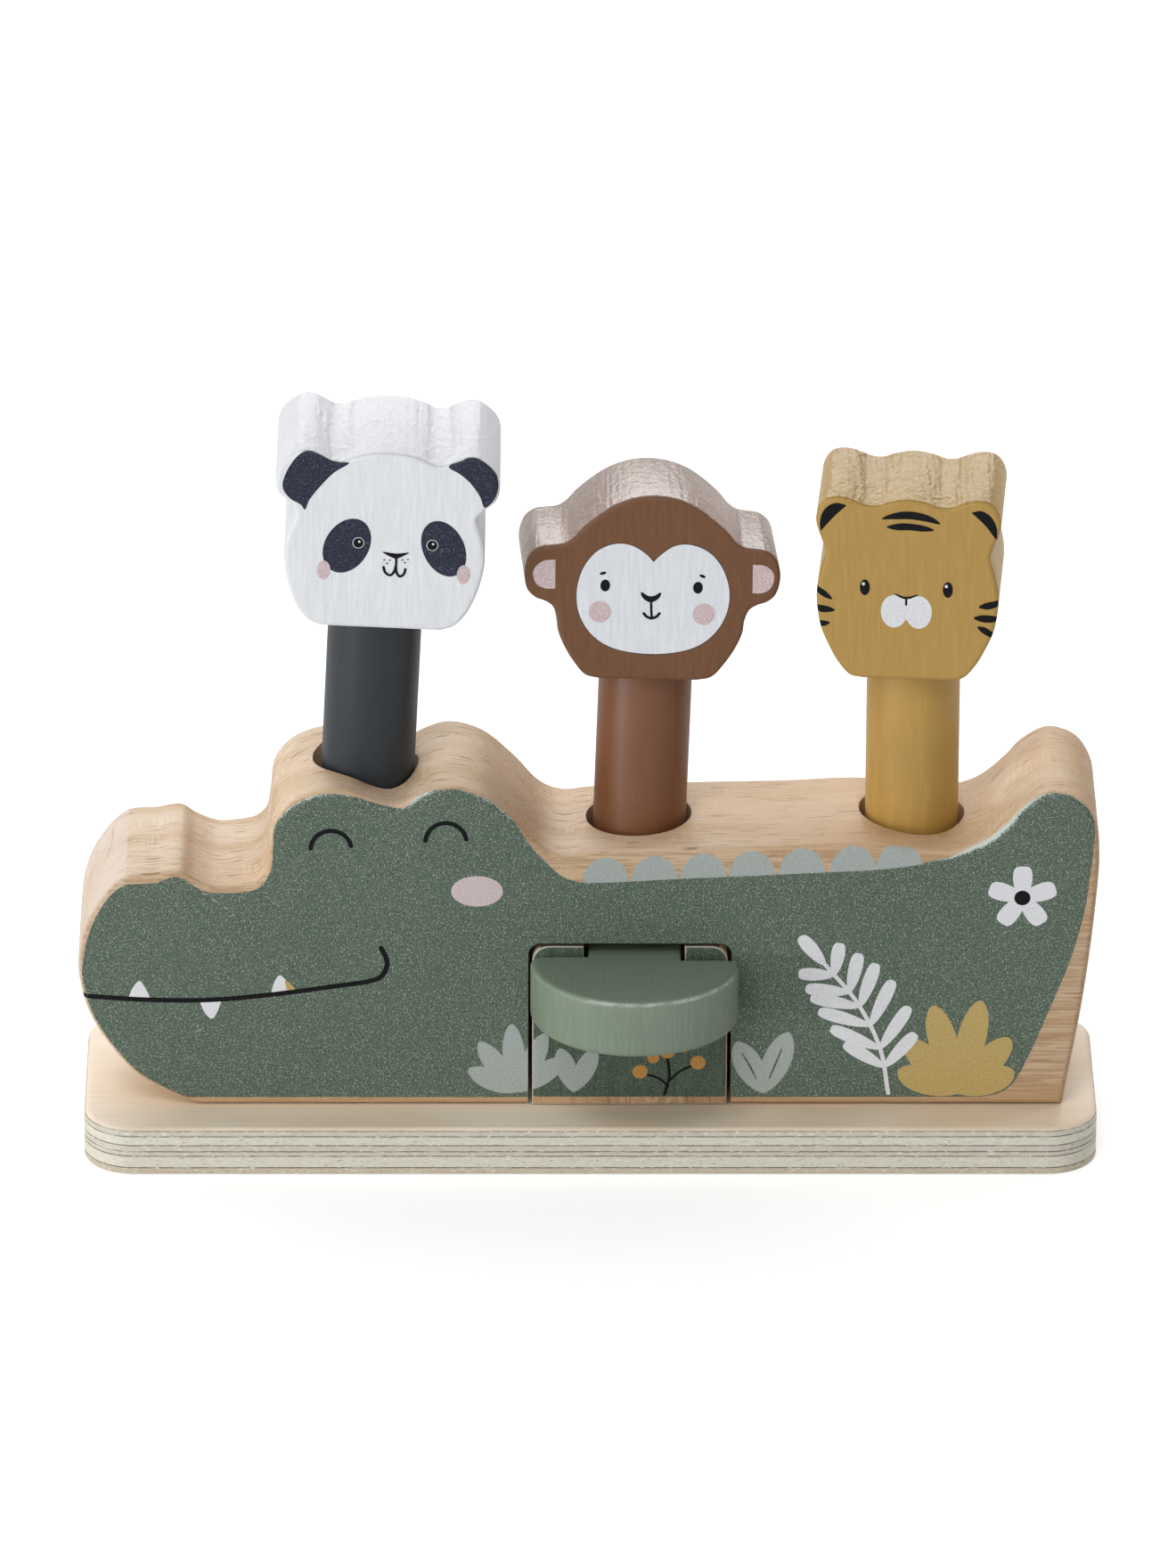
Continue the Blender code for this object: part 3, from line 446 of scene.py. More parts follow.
class Finish:
    """A Principled material, and short ways to add nodes to it."""

    def __init__(self, name, **fixed):
        self.material = bpy.data.materials.new(name)
        self.material.use_nodes = True
        self.tree = self.material.node_tree
        self.shader = self.tree.nodes["Principled BSDF"]
        for socket, value in fixed.items():
            self.feed(socket.replace("_", " "), value)

    def put(self, socket, value):
        if isinstance(value, Wire):
            self.tree.links.new(value.socket, socket)
        elif socket.type == "RGBA" and len(value) == 3:
            socket.default_value = (*value, 1.0)
        else:
            socket.default_value = value

    def feed(self, socket, value):
        self.put(self.shader.inputs[socket], value)

    def node(self, kind, settings=None, values=None, output=0):
        """Any node: its settings first, a ramp's stops among them, then its sockets."""
        made = self.tree.nodes.new(kind)
        for key, value in (settings or {}).items():
            if key == "stops":
                ramp = made.color_ramp.elements
                while len(ramp) < len(value):
                    ramp.new(1.0)
                for stop, (place, colour) in zip(ramp, value):
                    stop.position, stop.color = place, (*colour, 1.0)
            else:
                setattr(made, key, value)
        for key, value in (values or {}).items():
            self.put(made.inputs[key], value)
        return Wire(self, made.outputs[output])

    def place(self, scale=(1, 1, 1), turn=(0, 0, 0)):
        """Object coordinates, turned in degrees and stretched."""
        spot = self.node("ShaderNodeTexCoord", output="Object")
        if any(turn):
            spot = self.node("ShaderNodeMapping", {"vector_type": "POINT"},
                             {"Vector": spot, "Rotation": tuple(math.radians(a) for a in turn)})
        return self.node("ShaderNodeVectorMath", {"operation": "MULTIPLY"}, {0: spot, 1: scale})

    def noise(self, place, scale=1.0, detail=2.0, roughness=0.5, distortion=0.0):
        return self.node("ShaderNodeTexNoise", {}, {"Vector": place, "Scale": scale, "Detail": detail,
                                                    "Roughness": roughness, "Distortion": distortion})

    def mix(self, amount, first, second, blend="MIX"):
        return self.node("ShaderNodeMix", {"data_type": "RGBA", "blend_type": blend},
                         {0: amount, 6: first, 7: second}, output=2)

    def bump(self, height, strength, distance):
        self.feed("Normal", self.node("ShaderNodeBump", {}, {"Strength": strength,
                                                             "Distance": distance, "Height": height}))

    def facing(self, axis):
        """How far the surface faces along one of the piece's own axes, -1 to 1."""
        return self.node("ShaderNodeSeparateXYZ", {}, {"Vector": self.node("ShaderNodeTexCoord", output="Normal")},
                         output=axis)

    def value(self, attribute):
        return self.node("ShaderNodeAttribute", {"attribute_name": attribute}, output="Fac")


def beech(name, grain="X", pale=(218, 197, 173), deep=(200, 170, 134), fleck=(136, 101, 70), marks=None):
    """Lacquered beech: soft bands, long fibres and thin dark pores along the grain.

    The pores are fine across the face that they show on and coarse into it, so they stay
    long where the face slopes: one noise for tops and one for fronts, mixed by the normal.
    """
    finish = Finish(name, Roughness=0.5, Specular_IOR_Level=0.25)
    upright = grain == "Z"

    def stretched(along, across, into, front):
        if upright:
            return finish.place((across, into, along))
        return finish.place((along, into, across) if front else (along, across, into))

    def both(along, across, into, low, high, **kind):
        seen = [finish.noise(stretched(along, across, into, front), **kind).between(low + rarer, high + rarer)
                for front, rarer in ((False, 0), (True, behind * 0.04 - 0.01))]
        return seen[0] + fronts * (seen[1] - seen[0])

    fronts = finish.facing("Y").math("ABSOLUTE").between(0.6, 0.8)
    behind = finish.facing("Y").between(0.2, 0.6)
    bands = finish.noise(stretched(11, 70, 70, False), detail=3, distortion=0.5).between(0.34, 0.66)
    fibres = finish.noise(stretched(45, 1500, 1500, False), detail=3, roughness=0.65)
    dash = both(150, 2600, 330, 0.66, 0.70, detail=0)
    patch = finish.noise(stretched(60, 200, 200, False), detail=1).between(0.40, 0.56)
    hair = both(60, 1300, 260, 0.66, 0.72, detail=1, distortion=0.3)
    rays = finish.noise(finish.place((1500, 70, 400)), detail=2) * finish.noise(finish.place((40, 120, 60)), detail=1).between(0.5, 0.62)
    grit = finish.noise(finish.place((1700, 1700, 1700)), detail=2, roughness=0.7)
    wood = finish.mix(bands, screen(*pale), screen(*deep))
    wood = finish.mix(fibres.between(0.38, 0.72) * 0.38, wood, screen(*deep))
    wood = finish.mix(grit.between(0.5, 0.72) * 0.22, wood, screen(246, 232, 214))
    wood = finish.mix(rays.between(0.5, 0.66) * 0.3, wood, screen(240, 224, 204))
    wood = finish.mix((dash * patch + hair * 0.3).between(0, 0.9) * 0.75, wood, screen(*fleck))
    if marks:
        wood = marks(finish, wood, grit, fibres)
    finish.feed("Base Color", wood)
    finish.feed("Roughness", 0.46 + fibres * 0.16)
    finish.bump(fibres * 0.4 + grit * 0.3 - dash, 0.3, 0.0001)
    return finish.material


def block_marks(finish, wood, grit, fibres):
    """Where the crocodile's wood differs: a paler board glued on at the snout, slopes that face
    the tail darkened as painted shade over pale grit of rough end grain, and the bare front face
    below and beside the print darkened as painted shade, most at its foot by the base."""
    spot = finish.place()
    across = finish.node("ShaderNodeSeparateXYZ", {}, {"Vector": spot}, output="X")
    height = finish.node("ShaderNodeSeparateXYZ", {}, {"Vector": spot}, output="Z")
    to_tail, to_front = finish.facing("X"), finish.facing("Y")
    snout = (0 - across).between(0.1094, 0.1097)
    wood = finish.mix(snout * 0.6, wood, screen(218, 204, 193))
    from_heart = finish.node("ShaderNodeVectorMath", {"operation": "LENGTH"}, {0: finish.node(
        "ShaderNodeVectorMath", {"operation": "ADD"}, {0: finish.place((0.25, 1, 1)), 1: (0, -0.012, -0.030)})}, output="Value")
    rings = (from_heart * 1500 + finish.noise(finish.place((50, 50, 50)), detail=3) * 9).math("SINE")
    wood = finish.mix(rings.between(0.90, 0.99) * snout * finish.noise(finish.place((70, 90, 90)), detail=2).between(0.42, 0.6) * 0.4,
                      wood, screen(168, 136, 110))
    # Painted shade on slopes that face the tail, with pale grit specks of rough end grain.
    rough = (to_tail + (grit - 0.5) * 0.9).between(0.16, 0.75)
    wood = finish.mix(rough * 0.72, wood, screen(168, 134, 98))
    wood = finish.mix(rough * grit.between(0.56, 0.66) * 0.5, wood, screen(236, 216, 190))
    # Painted shade: wood facing the front is darker.
    wood = finish.mix((0 - to_front).between(0.35, 0.85) * 0.55, wood, screen(186, 154, 118))
    browner = across.between(-0.02, 0.07) * finish.facing("Z").between(0.6, 0.95)
    wood = finish.mix(browner * 0.42, wood, screen(190, 156, 116))
    streak = (fibres + (0 - to_front).between(0.5, 0.9) * 0.16).between(0.6, 0.72)
    wood = finish.mix(streak * 0.36, wood, screen(136, 102, 70))
    # Painted shadow: the front face's foot, just above the base, is darker.
    foot = (0.0160 - height).between(0.0, 0.0012) * (0 - to_front).between(0.35, 0.85)
    return finish.mix(foot * 0.6, wood, screen(188, 152, 112))


def panel_marks(finish, wood, grit, fibres):
    """The lever block's wood: a pale rubbed rim, and a narrow top, down in the gap, painted dark as shade."""
    wood = finish.mix((1 - (0 - finish.facing("Y")).between(0.75, 0.97)) * 0.85, wood, screen(202, 196, 182))
    # Painted shade: the narrow top down in the gap is near black.
    return finish.mix(finish.facing("Z").between(0.75, 0.92) * 0.85, wood, screen(62, 60, 54))


def plywood():
    """Birch plywood: pale veneer on top, and dashed glue lines between the layers at the edge."""
    finish = Finish("birch plywood", Roughness=0.5)
    height = finish.node("ShaderNodeSeparateXYZ", {}, {"Vector": finish.place()}, output="Z")
    up = finish.facing("Z").math("ABSOLUTE")
    wander = finish.noise(finish.place((60, 60, 15)), detail=3) - 0.5
    rough = finish.noise(finish.place((1300, 1300, 1300)), detail=2, roughness=0.7) - 0.5
    depth = (0.012 - height) / 0.012 + wander * 0.014 + rough * 0.016
    thin, thick, glue, veneer = (screen(*c) for c in ((205, 199, 184), (219, 215, 198), (92, 84, 74), (200, 188, 166)))
    stops, fill = [(0.0, thin)], (thin, thick, thin, thin, thick, veneer)
    for number, line in enumerate((0.062, 0.172, 0.366, 0.50, 0.60, 0.850)):
        stops += [(line - 0.015, stops[-1][1]), (line - 0.006, glue), (line + 0.006, glue), (line + 0.015, fill[number])]
    layers = finish.node("ShaderNodeValToRGB", {"stops": stops}, {"Fac": depth})
    dashes = finish.noise(finish.place((190, 190, 900)), detail=3, roughness=0.6)
    layers = finish.mix(dashes.between(0.50, 0.64) * 0.55, layers, screen(212, 207, 191))
    specks = finish.noise(finish.place((800, 800, 2600)), detail=1)
    layers = finish.mix(specks.between(0.64, 0.70) * 0.6, layers, screen(240, 238, 228))
    layers = finish.mix((1 - specks.between(0.29, 0.35)) * 0.5, layers, screen(150, 140, 122))
    fibres = finish.noise(finish.place((26, 1300, 1300)), detail=3, roughness=0.6)
    cloud = finish.noise(finish.place((16, 30, 60)), detail=3).between(0.32, 0.7)
    top = finish.mix(cloud, screen(239, 226, 206), screen(225, 205, 179))
    top = finish.mix(fibres.between(0.42, 0.74) * 0.25, top, screen(206, 180, 148))
    top = finish.mix((rough + 0.5).between(0.62, 0.78) * 0.3, top, screen(240, 230, 214))
    wood = finish.mix(up.between(0.35, 0.8), layers, top)
    finish.feed("Base Color", wood)
    finish.feed("Roughness", 0.46 + fibres * 0.14)
    finish.bump(fibres * 0.4 + rough, 0.3, 0.0001)
    return finish.material


def paint(name, colour, shade=0.86, grain=(1500, 130, 900), ridges=0.3, roughness=0.44, light=1.25, top=None,
          wavy=False, gloss=0.5, back=None):
    """Satin paint on wood, with soft clouds. On sawn edges the wood's wavy end grain and the
    saw's lines from front to back stand out under it; with wavy grain the right-facing sides are
    also lighter, painted light. `top` is its tone on top faces, a painted shade, and then the
    rounded front top edge gets a pale band of rubbed paint and painted highlight; `back` is its
    tone on the flat, duller back."""
    finish = Finish(name, Roughness=roughness, Specular_IOR_Level=gloss)
    ridge = finish.noise(finish.place(grain), detail=3, roughness=0.6, distortion=0.35)
    if wavy:
        lines = finish.noise(finish.place((900, 60, 120)), detail=1, roughness=0.3)
        ridge = finish.noise(finish.place((520, 300, 90)), detail=1, roughness=0.4, distortion=1.2) * 0.52 + lines * 0.5
    fine = finish.noise(finish.place(tuple(2.1 * g for g in grain)), detail=2)
    cloud = finish.noise(finish.place((60, 60, 60)), detail=3).between(0.3, 0.7)
    darker = tuple(c * shade for c in screen(*colour))
    lighter = tuple(min(1.0, c * light) for c in screen(*colour))
    tone = finish.mix(cloud * 0.6, screen(*colour), darker)
    tone = finish.mix(ridge.between(0.5, 0.64) * (0.3 if wavy else 0.5), tone, lighter)
    if wavy:
        # Painted light: right-facing sides are lighter, partly worn paint.
        tone = finish.mix(finish.facing("X").between(0.4, 0.9) * 0.5, tone, lighter)
    pits = fine.between(0.70, 0.78) * cloud
    tone = finish.mix(pits * 0.3, tone, tuple(c * 0.6 for c in screen(*colour)))
    if top:
        up = finish.facing("Z")
        # Painted shade: top faces take the darker top tone.
        tone = finish.mix(up.between(0.55, 0.9), tone, screen(*top))
        # Pale band on the rounded front top edge: rubbed paint, and painted highlight.
        rub_and_glint = up.between(0.3, 0.5) * (1 - up.between(0.72, 0.9)) * (0 - finish.facing("Y")).between(0.1, 0.4)
        rub_and_glint = rub_and_glint * (finish.noise(finish.place((120, 120, 400)), detail=4, roughness=0.75).between(0.44, 0.62) * 0.6 + 0.08)
        tone = finish.mix(rub_and_glint, tone, screen(186, 196, 182))
    dull = fine * 0.14
    if back:
        behind = finish.facing("Y").between(0.8, 0.97)
        tone = finish.mix(behind * (0.8 + ridge * 0.2), tone, screen(*back))
        dull = dull + behind * 0.25
    finish.feed("Base Color", tone)
    finish.feed("Roughness", roughness - 0.06 + dull)
    finish.bump(ridge if wavy else ridge + fine * 0.4, ridges, 0.0007 if wavy else 0.0003)
    return finish.material


def print_ink(name, colour, other, grain=(2300, 2300, 2300), edge_wear_and_glint=(196, 208, 202), roughness=0.55, ridges=None,
              dots=None, gloss=0.3):
    """Printed ink: a fine speckle of two tones, pale at the edge where it has worn and where a highlight is painted on
    rims that face up.
    """
    finish = Finish(name, Roughness=roughness, Specular_IOR_Level=gloss)
    speck = finish.noise(finish.place(grain), detail=3, roughness=0.8)
    fine = finish.noise(finish.place((4200, 4200, 4200)), detail=1)
    cloud = finish.noise(finish.place((26, 26, 26)), detail=3).between(0.3, 0.7)
    grit = (speck * 0.7 + fine * 0.3).between(0.40, 0.60)
    tone = finish.mix(grit * 0.4 + 0.3 if ridges and not dots else grit, screen(*colour), screen(*other))
    tone = finish.mix(cloud * 0.14, tone, screen(*colour))
    if dots:
        tone = finish.mix(finish.noise(finish.place((2600, 2600, 2600)), detail=1).between(0.60, 0.66) * 0.5,
                          tone, screen(*dots))
    height = speck
    if ridges:
        lines = finish.noise(finish.place(ridges), detail=1, roughness=0.4)
        tone = finish.mix(lines.between(0.5, 0.70) * 0.4, tone, screen(*other))
        tone = finish.mix(0.3 - lines.between(0.32, 0.46) * 0.3, tone, screen(*colour))
        height = speck * 0.15 + lines * 3
    # Pale edge: worn print, and painted highlight on rims that face up.
    wear = finish.value("wear")
    rub_and_glint = (wear + (speck - 0.5) * 1.3).between(0.32, 0.58) * wear.between(0.03, 0.25)
    tone = finish.mix(rub_and_glint, tone, screen(*edge_wear_and_glint))
    finish.feed("Base Color", tone)
    finish.feed("Roughness", roughness - 0.06 + speck * 0.14)
    finish.bump(height, 0.4, 0.0001)
    return finish.material


def steel():
    """Zinc-plated steel with turning marks."""
    finish = Finish("zinc steel", Metallic=1.0, Roughness=0.32)
    marks = finish.noise(finish.place((900, 900, 4200)), detail=2)
    finish.feed("Base Color", finish.mix(marks, screen(196, 197, 200), screen(164, 166, 170)))
    finish.feed("Roughness", 0.26 + marks * 0.16)
    return finish.material


# ---------------------------------------------------------------- the finishes used here
BEECH = beech("beech", marks=block_marks)
BEECH_UPRIGHT = beech("beech, upright grain", grain="Z", pale=(192, 158, 120), deep=(168, 132, 94), marks=panel_marks)
PLAIN_BEECH = beech("plain beech", pale=(208, 180, 148), deep=(184, 150, 114))
PLYWOOD = plywood()
STEEL = steel()
# The top tone is painted shade, darker where the block shades the paddle's top.
PADDLE_GREEN = paint("paddle green", (124, 139, 121), grain=(1500, 80, 110), ridges=0.6, light=1.16, top=(112, 128, 110))
WHITE = paint("white paint", (214, 215, 219), shade=0.95, ridges=0.7, roughness=0.36, light=1.04, wavy=True,
              gloss=0.3)
SLATE = paint("slate paint", (32, 40, 47), grain=(500, 500, 60), ridges=0.08, light=1.1)
BROWN = paint("brown paint", (124, 94, 76), ridges=0.8, roughness=0.27, light=1.7, wavy=True, gloss=0.62,
              back=(107, 73, 50))
TAN = paint("tan paint", (115, 72, 43), grain=(500, 500, 60), ridges=0.08, light=1.1)
OCHRE = paint("ochre paint", (165, 133, 66), ridges=1.0, roughness=0.32, light=1.3, wavy=True, gloss=0.2)
MUSTARD = paint("mustard paint", (181, 143, 71), grain=(500, 500, 60), ridges=0.08, light=1.1)
UPRIGHT = (1050, 1050, 90)
CROC_GREEN = print_ink("crocodile green", (57, 72, 60), (106, 121, 106), dots=(188, 197, 182))
# The panel's green ink, darkened further as painted shade under the paddle.
PANEL_GREEN_SHADED = print_ink("panel green", (50, 65, 52), (90, 105, 89), ridges=(1600, 1600, 70), dots=(140, 150, 136))
SILVER = print_ink("silver green", (151, 158, 153), (175, 181, 178))
CHALK = print_ink("chalk white", (210, 211, 215), (228, 229, 232))
HONEY = print_ink("honey", (172, 147, 88), (196, 172, 112))
ORANGE = print_ink("orange", (180, 128, 62), (200, 150, 84))
PINK_ON_GREEN = print_ink("dusky pink", (188, 171, 173), (212, 198, 199))
BLUSH = print_ink("blush pink", (186, 164, 166), (218, 200, 203))
INK = print_ink("ink", (12, 13, 14), (22, 23, 25), gloss=0.12)
NAVY = print_ink("navy ink", (33, 36, 50), (50, 53, 70), dots=(104, 108, 126), gloss=0.2)
PANDA_FACE = print_ink("panda face", (214, 217, 221), (233, 235, 238), ridges=UPRIGHT)
MONKEY_FACE = print_ink("monkey face", (103, 69, 46), (119, 83, 57), ridges=UPRIGHT)
TIGER_FACE = print_ink("tiger face", (168, 134, 70), (184, 149, 84), ridges=UPRIGHT)
MASK_WHITE = print_ink("mask white", (210, 213, 219), (228, 231, 236), ridges=UPRIGHT)
MASK_RIM = print_ink("dark mask rim", (58, 42, 36), (74, 54, 44))


# ---------------------------------------------------------------- wooden pieces
def block_outline():
    """The crocodile seen from the front, from the jaw's foot clockwise to the tail's foot."""
    shares = np.array(BLOCK_SHARES)
    return flowing(np.stack([BLOCK_LEFT + BLOCK_LENGTH * shares[:, 0],
                             BLOCK_FOOT + BLOCK_HEIGHT * shares[:, 1]], 1), 7)


def head_outline(half, width, height, offset):
    """A head about its neck: right half from the table, mirrored."""
    right = np.array(half[::-1]) * (width, height)
    left = right[-2::-1] * (-1, 1)
    return flowing(np.vstack([right, left]), 8) + (offset, 0)


def rod(radius, low, high, low_round, high_round, steps=7):
    """Profile of a rod with rounded ends."""
    a = np.linspace(0, math.pi / 2, steps)
    foot = np.stack([radius - low_round * (1 - np.sin(a)), low + low_round * (1 - np.cos(a))], 1)
    head = np.stack([radius - high_round * (1 - np.cos(a)), high - high_round * (1 - np.sin(a))], 1)
    return [(0, low)] + foot.tolist() + head.tolist() + [(0, high)]


def drill(name, radius, low, high, x, y, sides=96):
    """A round cutter along Z."""
    profile = [(0, low), (radius, low), (radius, high), (0, high)]
    return turned(name, profile, BEECH, None, lambda v: v + (x, y, 0), sides)


def screw_cutter(name, x, y, tip):
    """The countersunk way of a wood screw, cut from under the plate."""
    profile = [(0, -4), (4.0, -4), (4.0, 0.4), (2.2, 2.8), (2.2, tip), (0, tip)]
    return turned(name, profile, BEECH, None, lambda v: v + (x, y, 0), 32)


SCREWS = [(x, y, 28.7) for x in (-81.7, 104.3) for y in (-9, 9)]
SCREWS += [(PRESS_X - 14, -13.5, 24.7), (PRESS_X + 14, -13.5, 24.7)]


def make_plate():
    plate = slab("toy_plate", plate_outline(-120, 120, -32, 32, 12, 24), 0, BASE_TOP,
                 (0.6, 1.5), PLYWOOD, "frame", "Z")
    cut_away(plate, [screw_cutter(f"way_{i}", *s) for i, s in enumerate(SCREWS)])
    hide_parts("plywood_base")


def make_block(outline):
    block = slab("crocodile_block", outline, BLOCK_FRONT, -BLOCK_FRONT,
                 (BLOCK_ROUND, BLOCK_ROUND), BEECH, "frame")
    chamber = slab("chamber", plate_outline(HOLES_X[0] - 15.5, HOLES_X[2] + 15.5, -12, 12, 6),
                   8, 66, (0, 0), BEECH, None, "Z")
    opening = slab("opening", plate_outline(PRESS_X - 24, PRESS_X + 24, 8, 54.6, 3),
                   BLOCK_FRONT - 4, 0, (0, 0), BEECH, None)
    holes = [drill(f"hole_{i}", HOLE_RADIUS, 62, 99, x, HOLE_Y) for i, x in enumerate(HOLES_X)]
    pilots = [drill(f"pilot_{i}", 2.2, 8, tip, x, y, 24) for i, (x, y, tip) in enumerate(SCREWS[:4])]
    cut_away(block, holes, rim=0.2)
    cut_away(block, [chamber, opening] + pilots)
    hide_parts("crocodile_body")


def press_block_outline():
    """The clevis block seen from the front: round top corners and the lever's notch."""
    left, right = PRESS_X - PANEL_WIDTH / 2, PRESS_X + PANEL_WIDTH / 2
    high = BLOCK_FOOT + PANEL_HEIGHT
    near, far, floor = LEVER_X - NOTCH_HALF, LEVER_X + NOTCH_HALF, high - NOTCH_DEPTH
    c, n = PANEL_CORNER, NOTCH_CORNER
    return np.vstack([[(left, BLOCK_FOOT), (right, BLOCK_FOOT)],
                      oval((right - c, high - c), (c, c), 0, 0, 90, 10), [(far, high)],
                      oval((far - n, floor + n), (n, n), 0, 0, -90, 7),
                      oval((near + n, floor + n), (n, n), 0, -90, -180, 7), [(near, high)],
                      oval((left + c, high - c), (c, c), 0, 90, 180, 10)])


def make_press_block():
    block = slab("lever_block", press_block_outline(), BLOCK_FRONT, BLOCK_FRONT + 12, (0.6, 0),
                 BEECH_UPRIGHT, "frame")
    pin = turned("pin_way", [(0, -28), (2.3, -28), (2.3, 28), (0, 28)], BEECH, None,
                 lambda v: v[:, [2, 1, 0]] * (1, -1, 1) + (PRESS_X, PIVOT_Y, PIVOT_Z), 32)
    pilots = [drill(f"pilot_{i}", 2.2, 8, tip, x, y, 24) for i, (x, y, tip) in enumerate(SCREWS[4:])]
    cut_away(block, [pin] + pilots)
    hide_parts("front_block")


def make_paddle():
    """The lever board about its pin: half-round paddle, neck and lapped tail."""
    def at_pin(v):
        return v + (LEVER_X, PIVOT_Y, PIVOT_Z)

    half, neck, tail, c = 24.5, 11.0, 23.5, 3.0
    left, right = -6.5, -8.4
    bow = left - 26.6
    outline = np.vstack([[(-neck, left)], oval((-half + c, left - c), (c, c), 0, 90, 180, 12),
                         oval((0, left - c), (half, left - c - bow), 0, 180, 270, 40)[1:],
                         oval((0, right - c), (half, right - c - bow), 0, 270, 360, 40)[1:-1],
                         oval((half - c, right - c), (c, c), 0, 0, 90, 12),
                         [(neck, right), (neck, tail), (-neck, tail)]])
    paddle = slab("paddle_board", outline, -7.1, 7.1, (1.5, 1.5), PADDLE_GREEN, "lever", "Z",
                  place=at_pin)
    bore = turned("pin_bore", [(0, -15), (2.45, -15), (2.45, 15), (0, 15)], BEECH, None,
                  lambda v: at_pin(v[:, [2, 1, 0]] * (1, -1, 1)), 32)
    lap = slab("lap", np.array([(11.2, -3.9), (27.5, -3.9), (27.5, 11.1), (11.2, 11.1)]),
               -15, 15, (0, 0), BEECH, None, "X", place=at_pin)
    slope = np.array([(-2.5, 2.5), (-6.5, 2.5), (-11.1, -7.1), (-11.1, -11.1), (-2.5, -11.1)])
    reliefs = [slab(name, slope, a, b, (0, 0), BEECH, None, "X", place=at_pin)
               for name, a, b in (("slope_left", -28.5, -neck), ("slope_right", neck, 28.5))]
    cut_away(paddle, [bore, lap] + reliefs, rim=0.25)
    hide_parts("press_paddle")


def axes_of(name):
    """Matrices of an animal's guide and neck, in millimetres.

    Guide: move to (x, y, z), turn sideways about Y, then forwards about X. The neck is
    further up the same stick and turned about it.
    """
    hole, guide, neck, _, _, _, (forward, sideways, turn), _ = ANIMALS[name]
    lean = Euler((math.radians(forward), math.radians(sideways), 0)).to_matrix().to_4x4()
    stick = Matrix.Translation((hole, HOLE_Y, guide)) @ lean
    head = stick @ Matrix.Translation((0, 0, neck)) @ Matrix.Rotation(-math.radians(turn), 4, "Z")
    return np.array(stick), np.array(head)


def moved(matrix):
    return lambda v: v @ matrix[:3, :3].T + matrix[:3, 3]


def make_animals(stick_paints, head_paints):
    for name, (_, guide, neck, offset, width, height, lean, half) in ANIMALS.items():
        stick, head = axes_of(name)
        along = stick[:3, 2]
        foot = (np.array([0, 4 - HOLE_Y, 58 - guide]) @ along) + 4.3
        top = neck - 0.3
        profile = rod(STICK_RADIUS, foot, top, 1.2, 0.3)[:-1]
        profile += [(5.3, top), (5.3, top - 12), (0, top - 12)]
        made = turned(f"{name}_rod", profile, stick_paints[name][0], f"{name}_figure", moved(stick))
        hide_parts(f"{name}_stick")
        shape = head_outline(half, width, height, offset)
        made = slab(f"{name}_board", shape, -HEAD_HALF, HEAD_HALF, (HEAD_ROUND, HEAD_ROUND),
                    head_paints[name][0], f"{name}_face", place=moved(head))
        bore = turned("peg_bore", [(0, -4), (5.3, -4), (5.3, 14), (0, 14)], BEECH, None, moved(head), 32)
        cut_away(made, [bore])
        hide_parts(f"{name}_head")


# ---------------------------------------------------------------- prints on the crocodile
GREEN_TOP = ((-119.9, 49.6), (-119.1, 54.2), (-117.6, 59.2), (-116.0, 62.7), (-114.0, 66.0), (-111.8, 68.4), (-109.6, 69.8),
             (-106.9, 70.1), (-103.1, 70.3), (-100.5, 71.1), (-98.6, 71.9), (-96.7, 71.7),
             (-94.8, 70.6), (-92.8, 69.1), (-90.6, 68.0), (-87.1, 67.7), (-82.3, 67.9),
             (-79.0, 68.7), (-76.8, 70.7), (-75.5, 73.4), (-75.0, 76.6), (-74.8, 80.5),
             (-74.5, 84.4), (-73.2, 87.2), (-70.3, 90.2), (-66.5, 92.3), (-62.7, 93.3),
             (-59.2, 93.3), (-55.4, 92.5), (-51.7, 91.1), (-47.5, 89.9), (-43.9, 89.8),
             (-41.0, 92.1), (-38.1, 93.7), (-33.9, 94.5), (-30.5, 94.2), (-26.8, 92.8),
             (-21.8, 90.0), (-19.0, 87.0), (-16.9, 84.1), (-15.1, 81.2), (-13.0, 78.5),
             (-11.1, 76.3), (-9.2, 74.1), (-6.8, 72.0), (-4.4, 71.0), (-1.7, 70.4),
             (20.2, 71.4), (45.3, 72.6), (54.9, 73.1), (64.5, 73.6), (71.0, 74.2),
             (76.7, 75.1), (80.5, 76.2), (83.8, 76.9), (86.9, 78.2), (91.3, 80.5),
             (93.6, 81.7), (95.4, 83.3), (97.7, 85.7), (99.6, 88.0), (101.8, 90.3),
             (104.1, 91.9), (106.0, 93.0), (107.9, 93.4), (110.1, 93.3), (112.4, 92.7),
             (114.4, 91.4), (116.1, 89.9), (117.3, 88.2), (118.0, 86.3), (118.3, 83.6),
             (118.1, 80.6), (117.8, 75.9), (117.2, 71.2), (116.7, 66.0), (115.5, 59.7),
             (113.1, 50.5), (110.2, 42.2), (107.4, 34.8), (104.5, 27.2), (101.5, 20.5),
             (99.4, 17.2), (96.3, 15.2), (92.5, 14.4))
GREEN_FOOT = 14.3
SCALLOPS = ((3.4, 76.9), (14.9, 77.4), (26.4, 78.0), (37.9, 78.6), (49.6, 79.3),
            (61.6, 79.9), (72.5, 80.6))


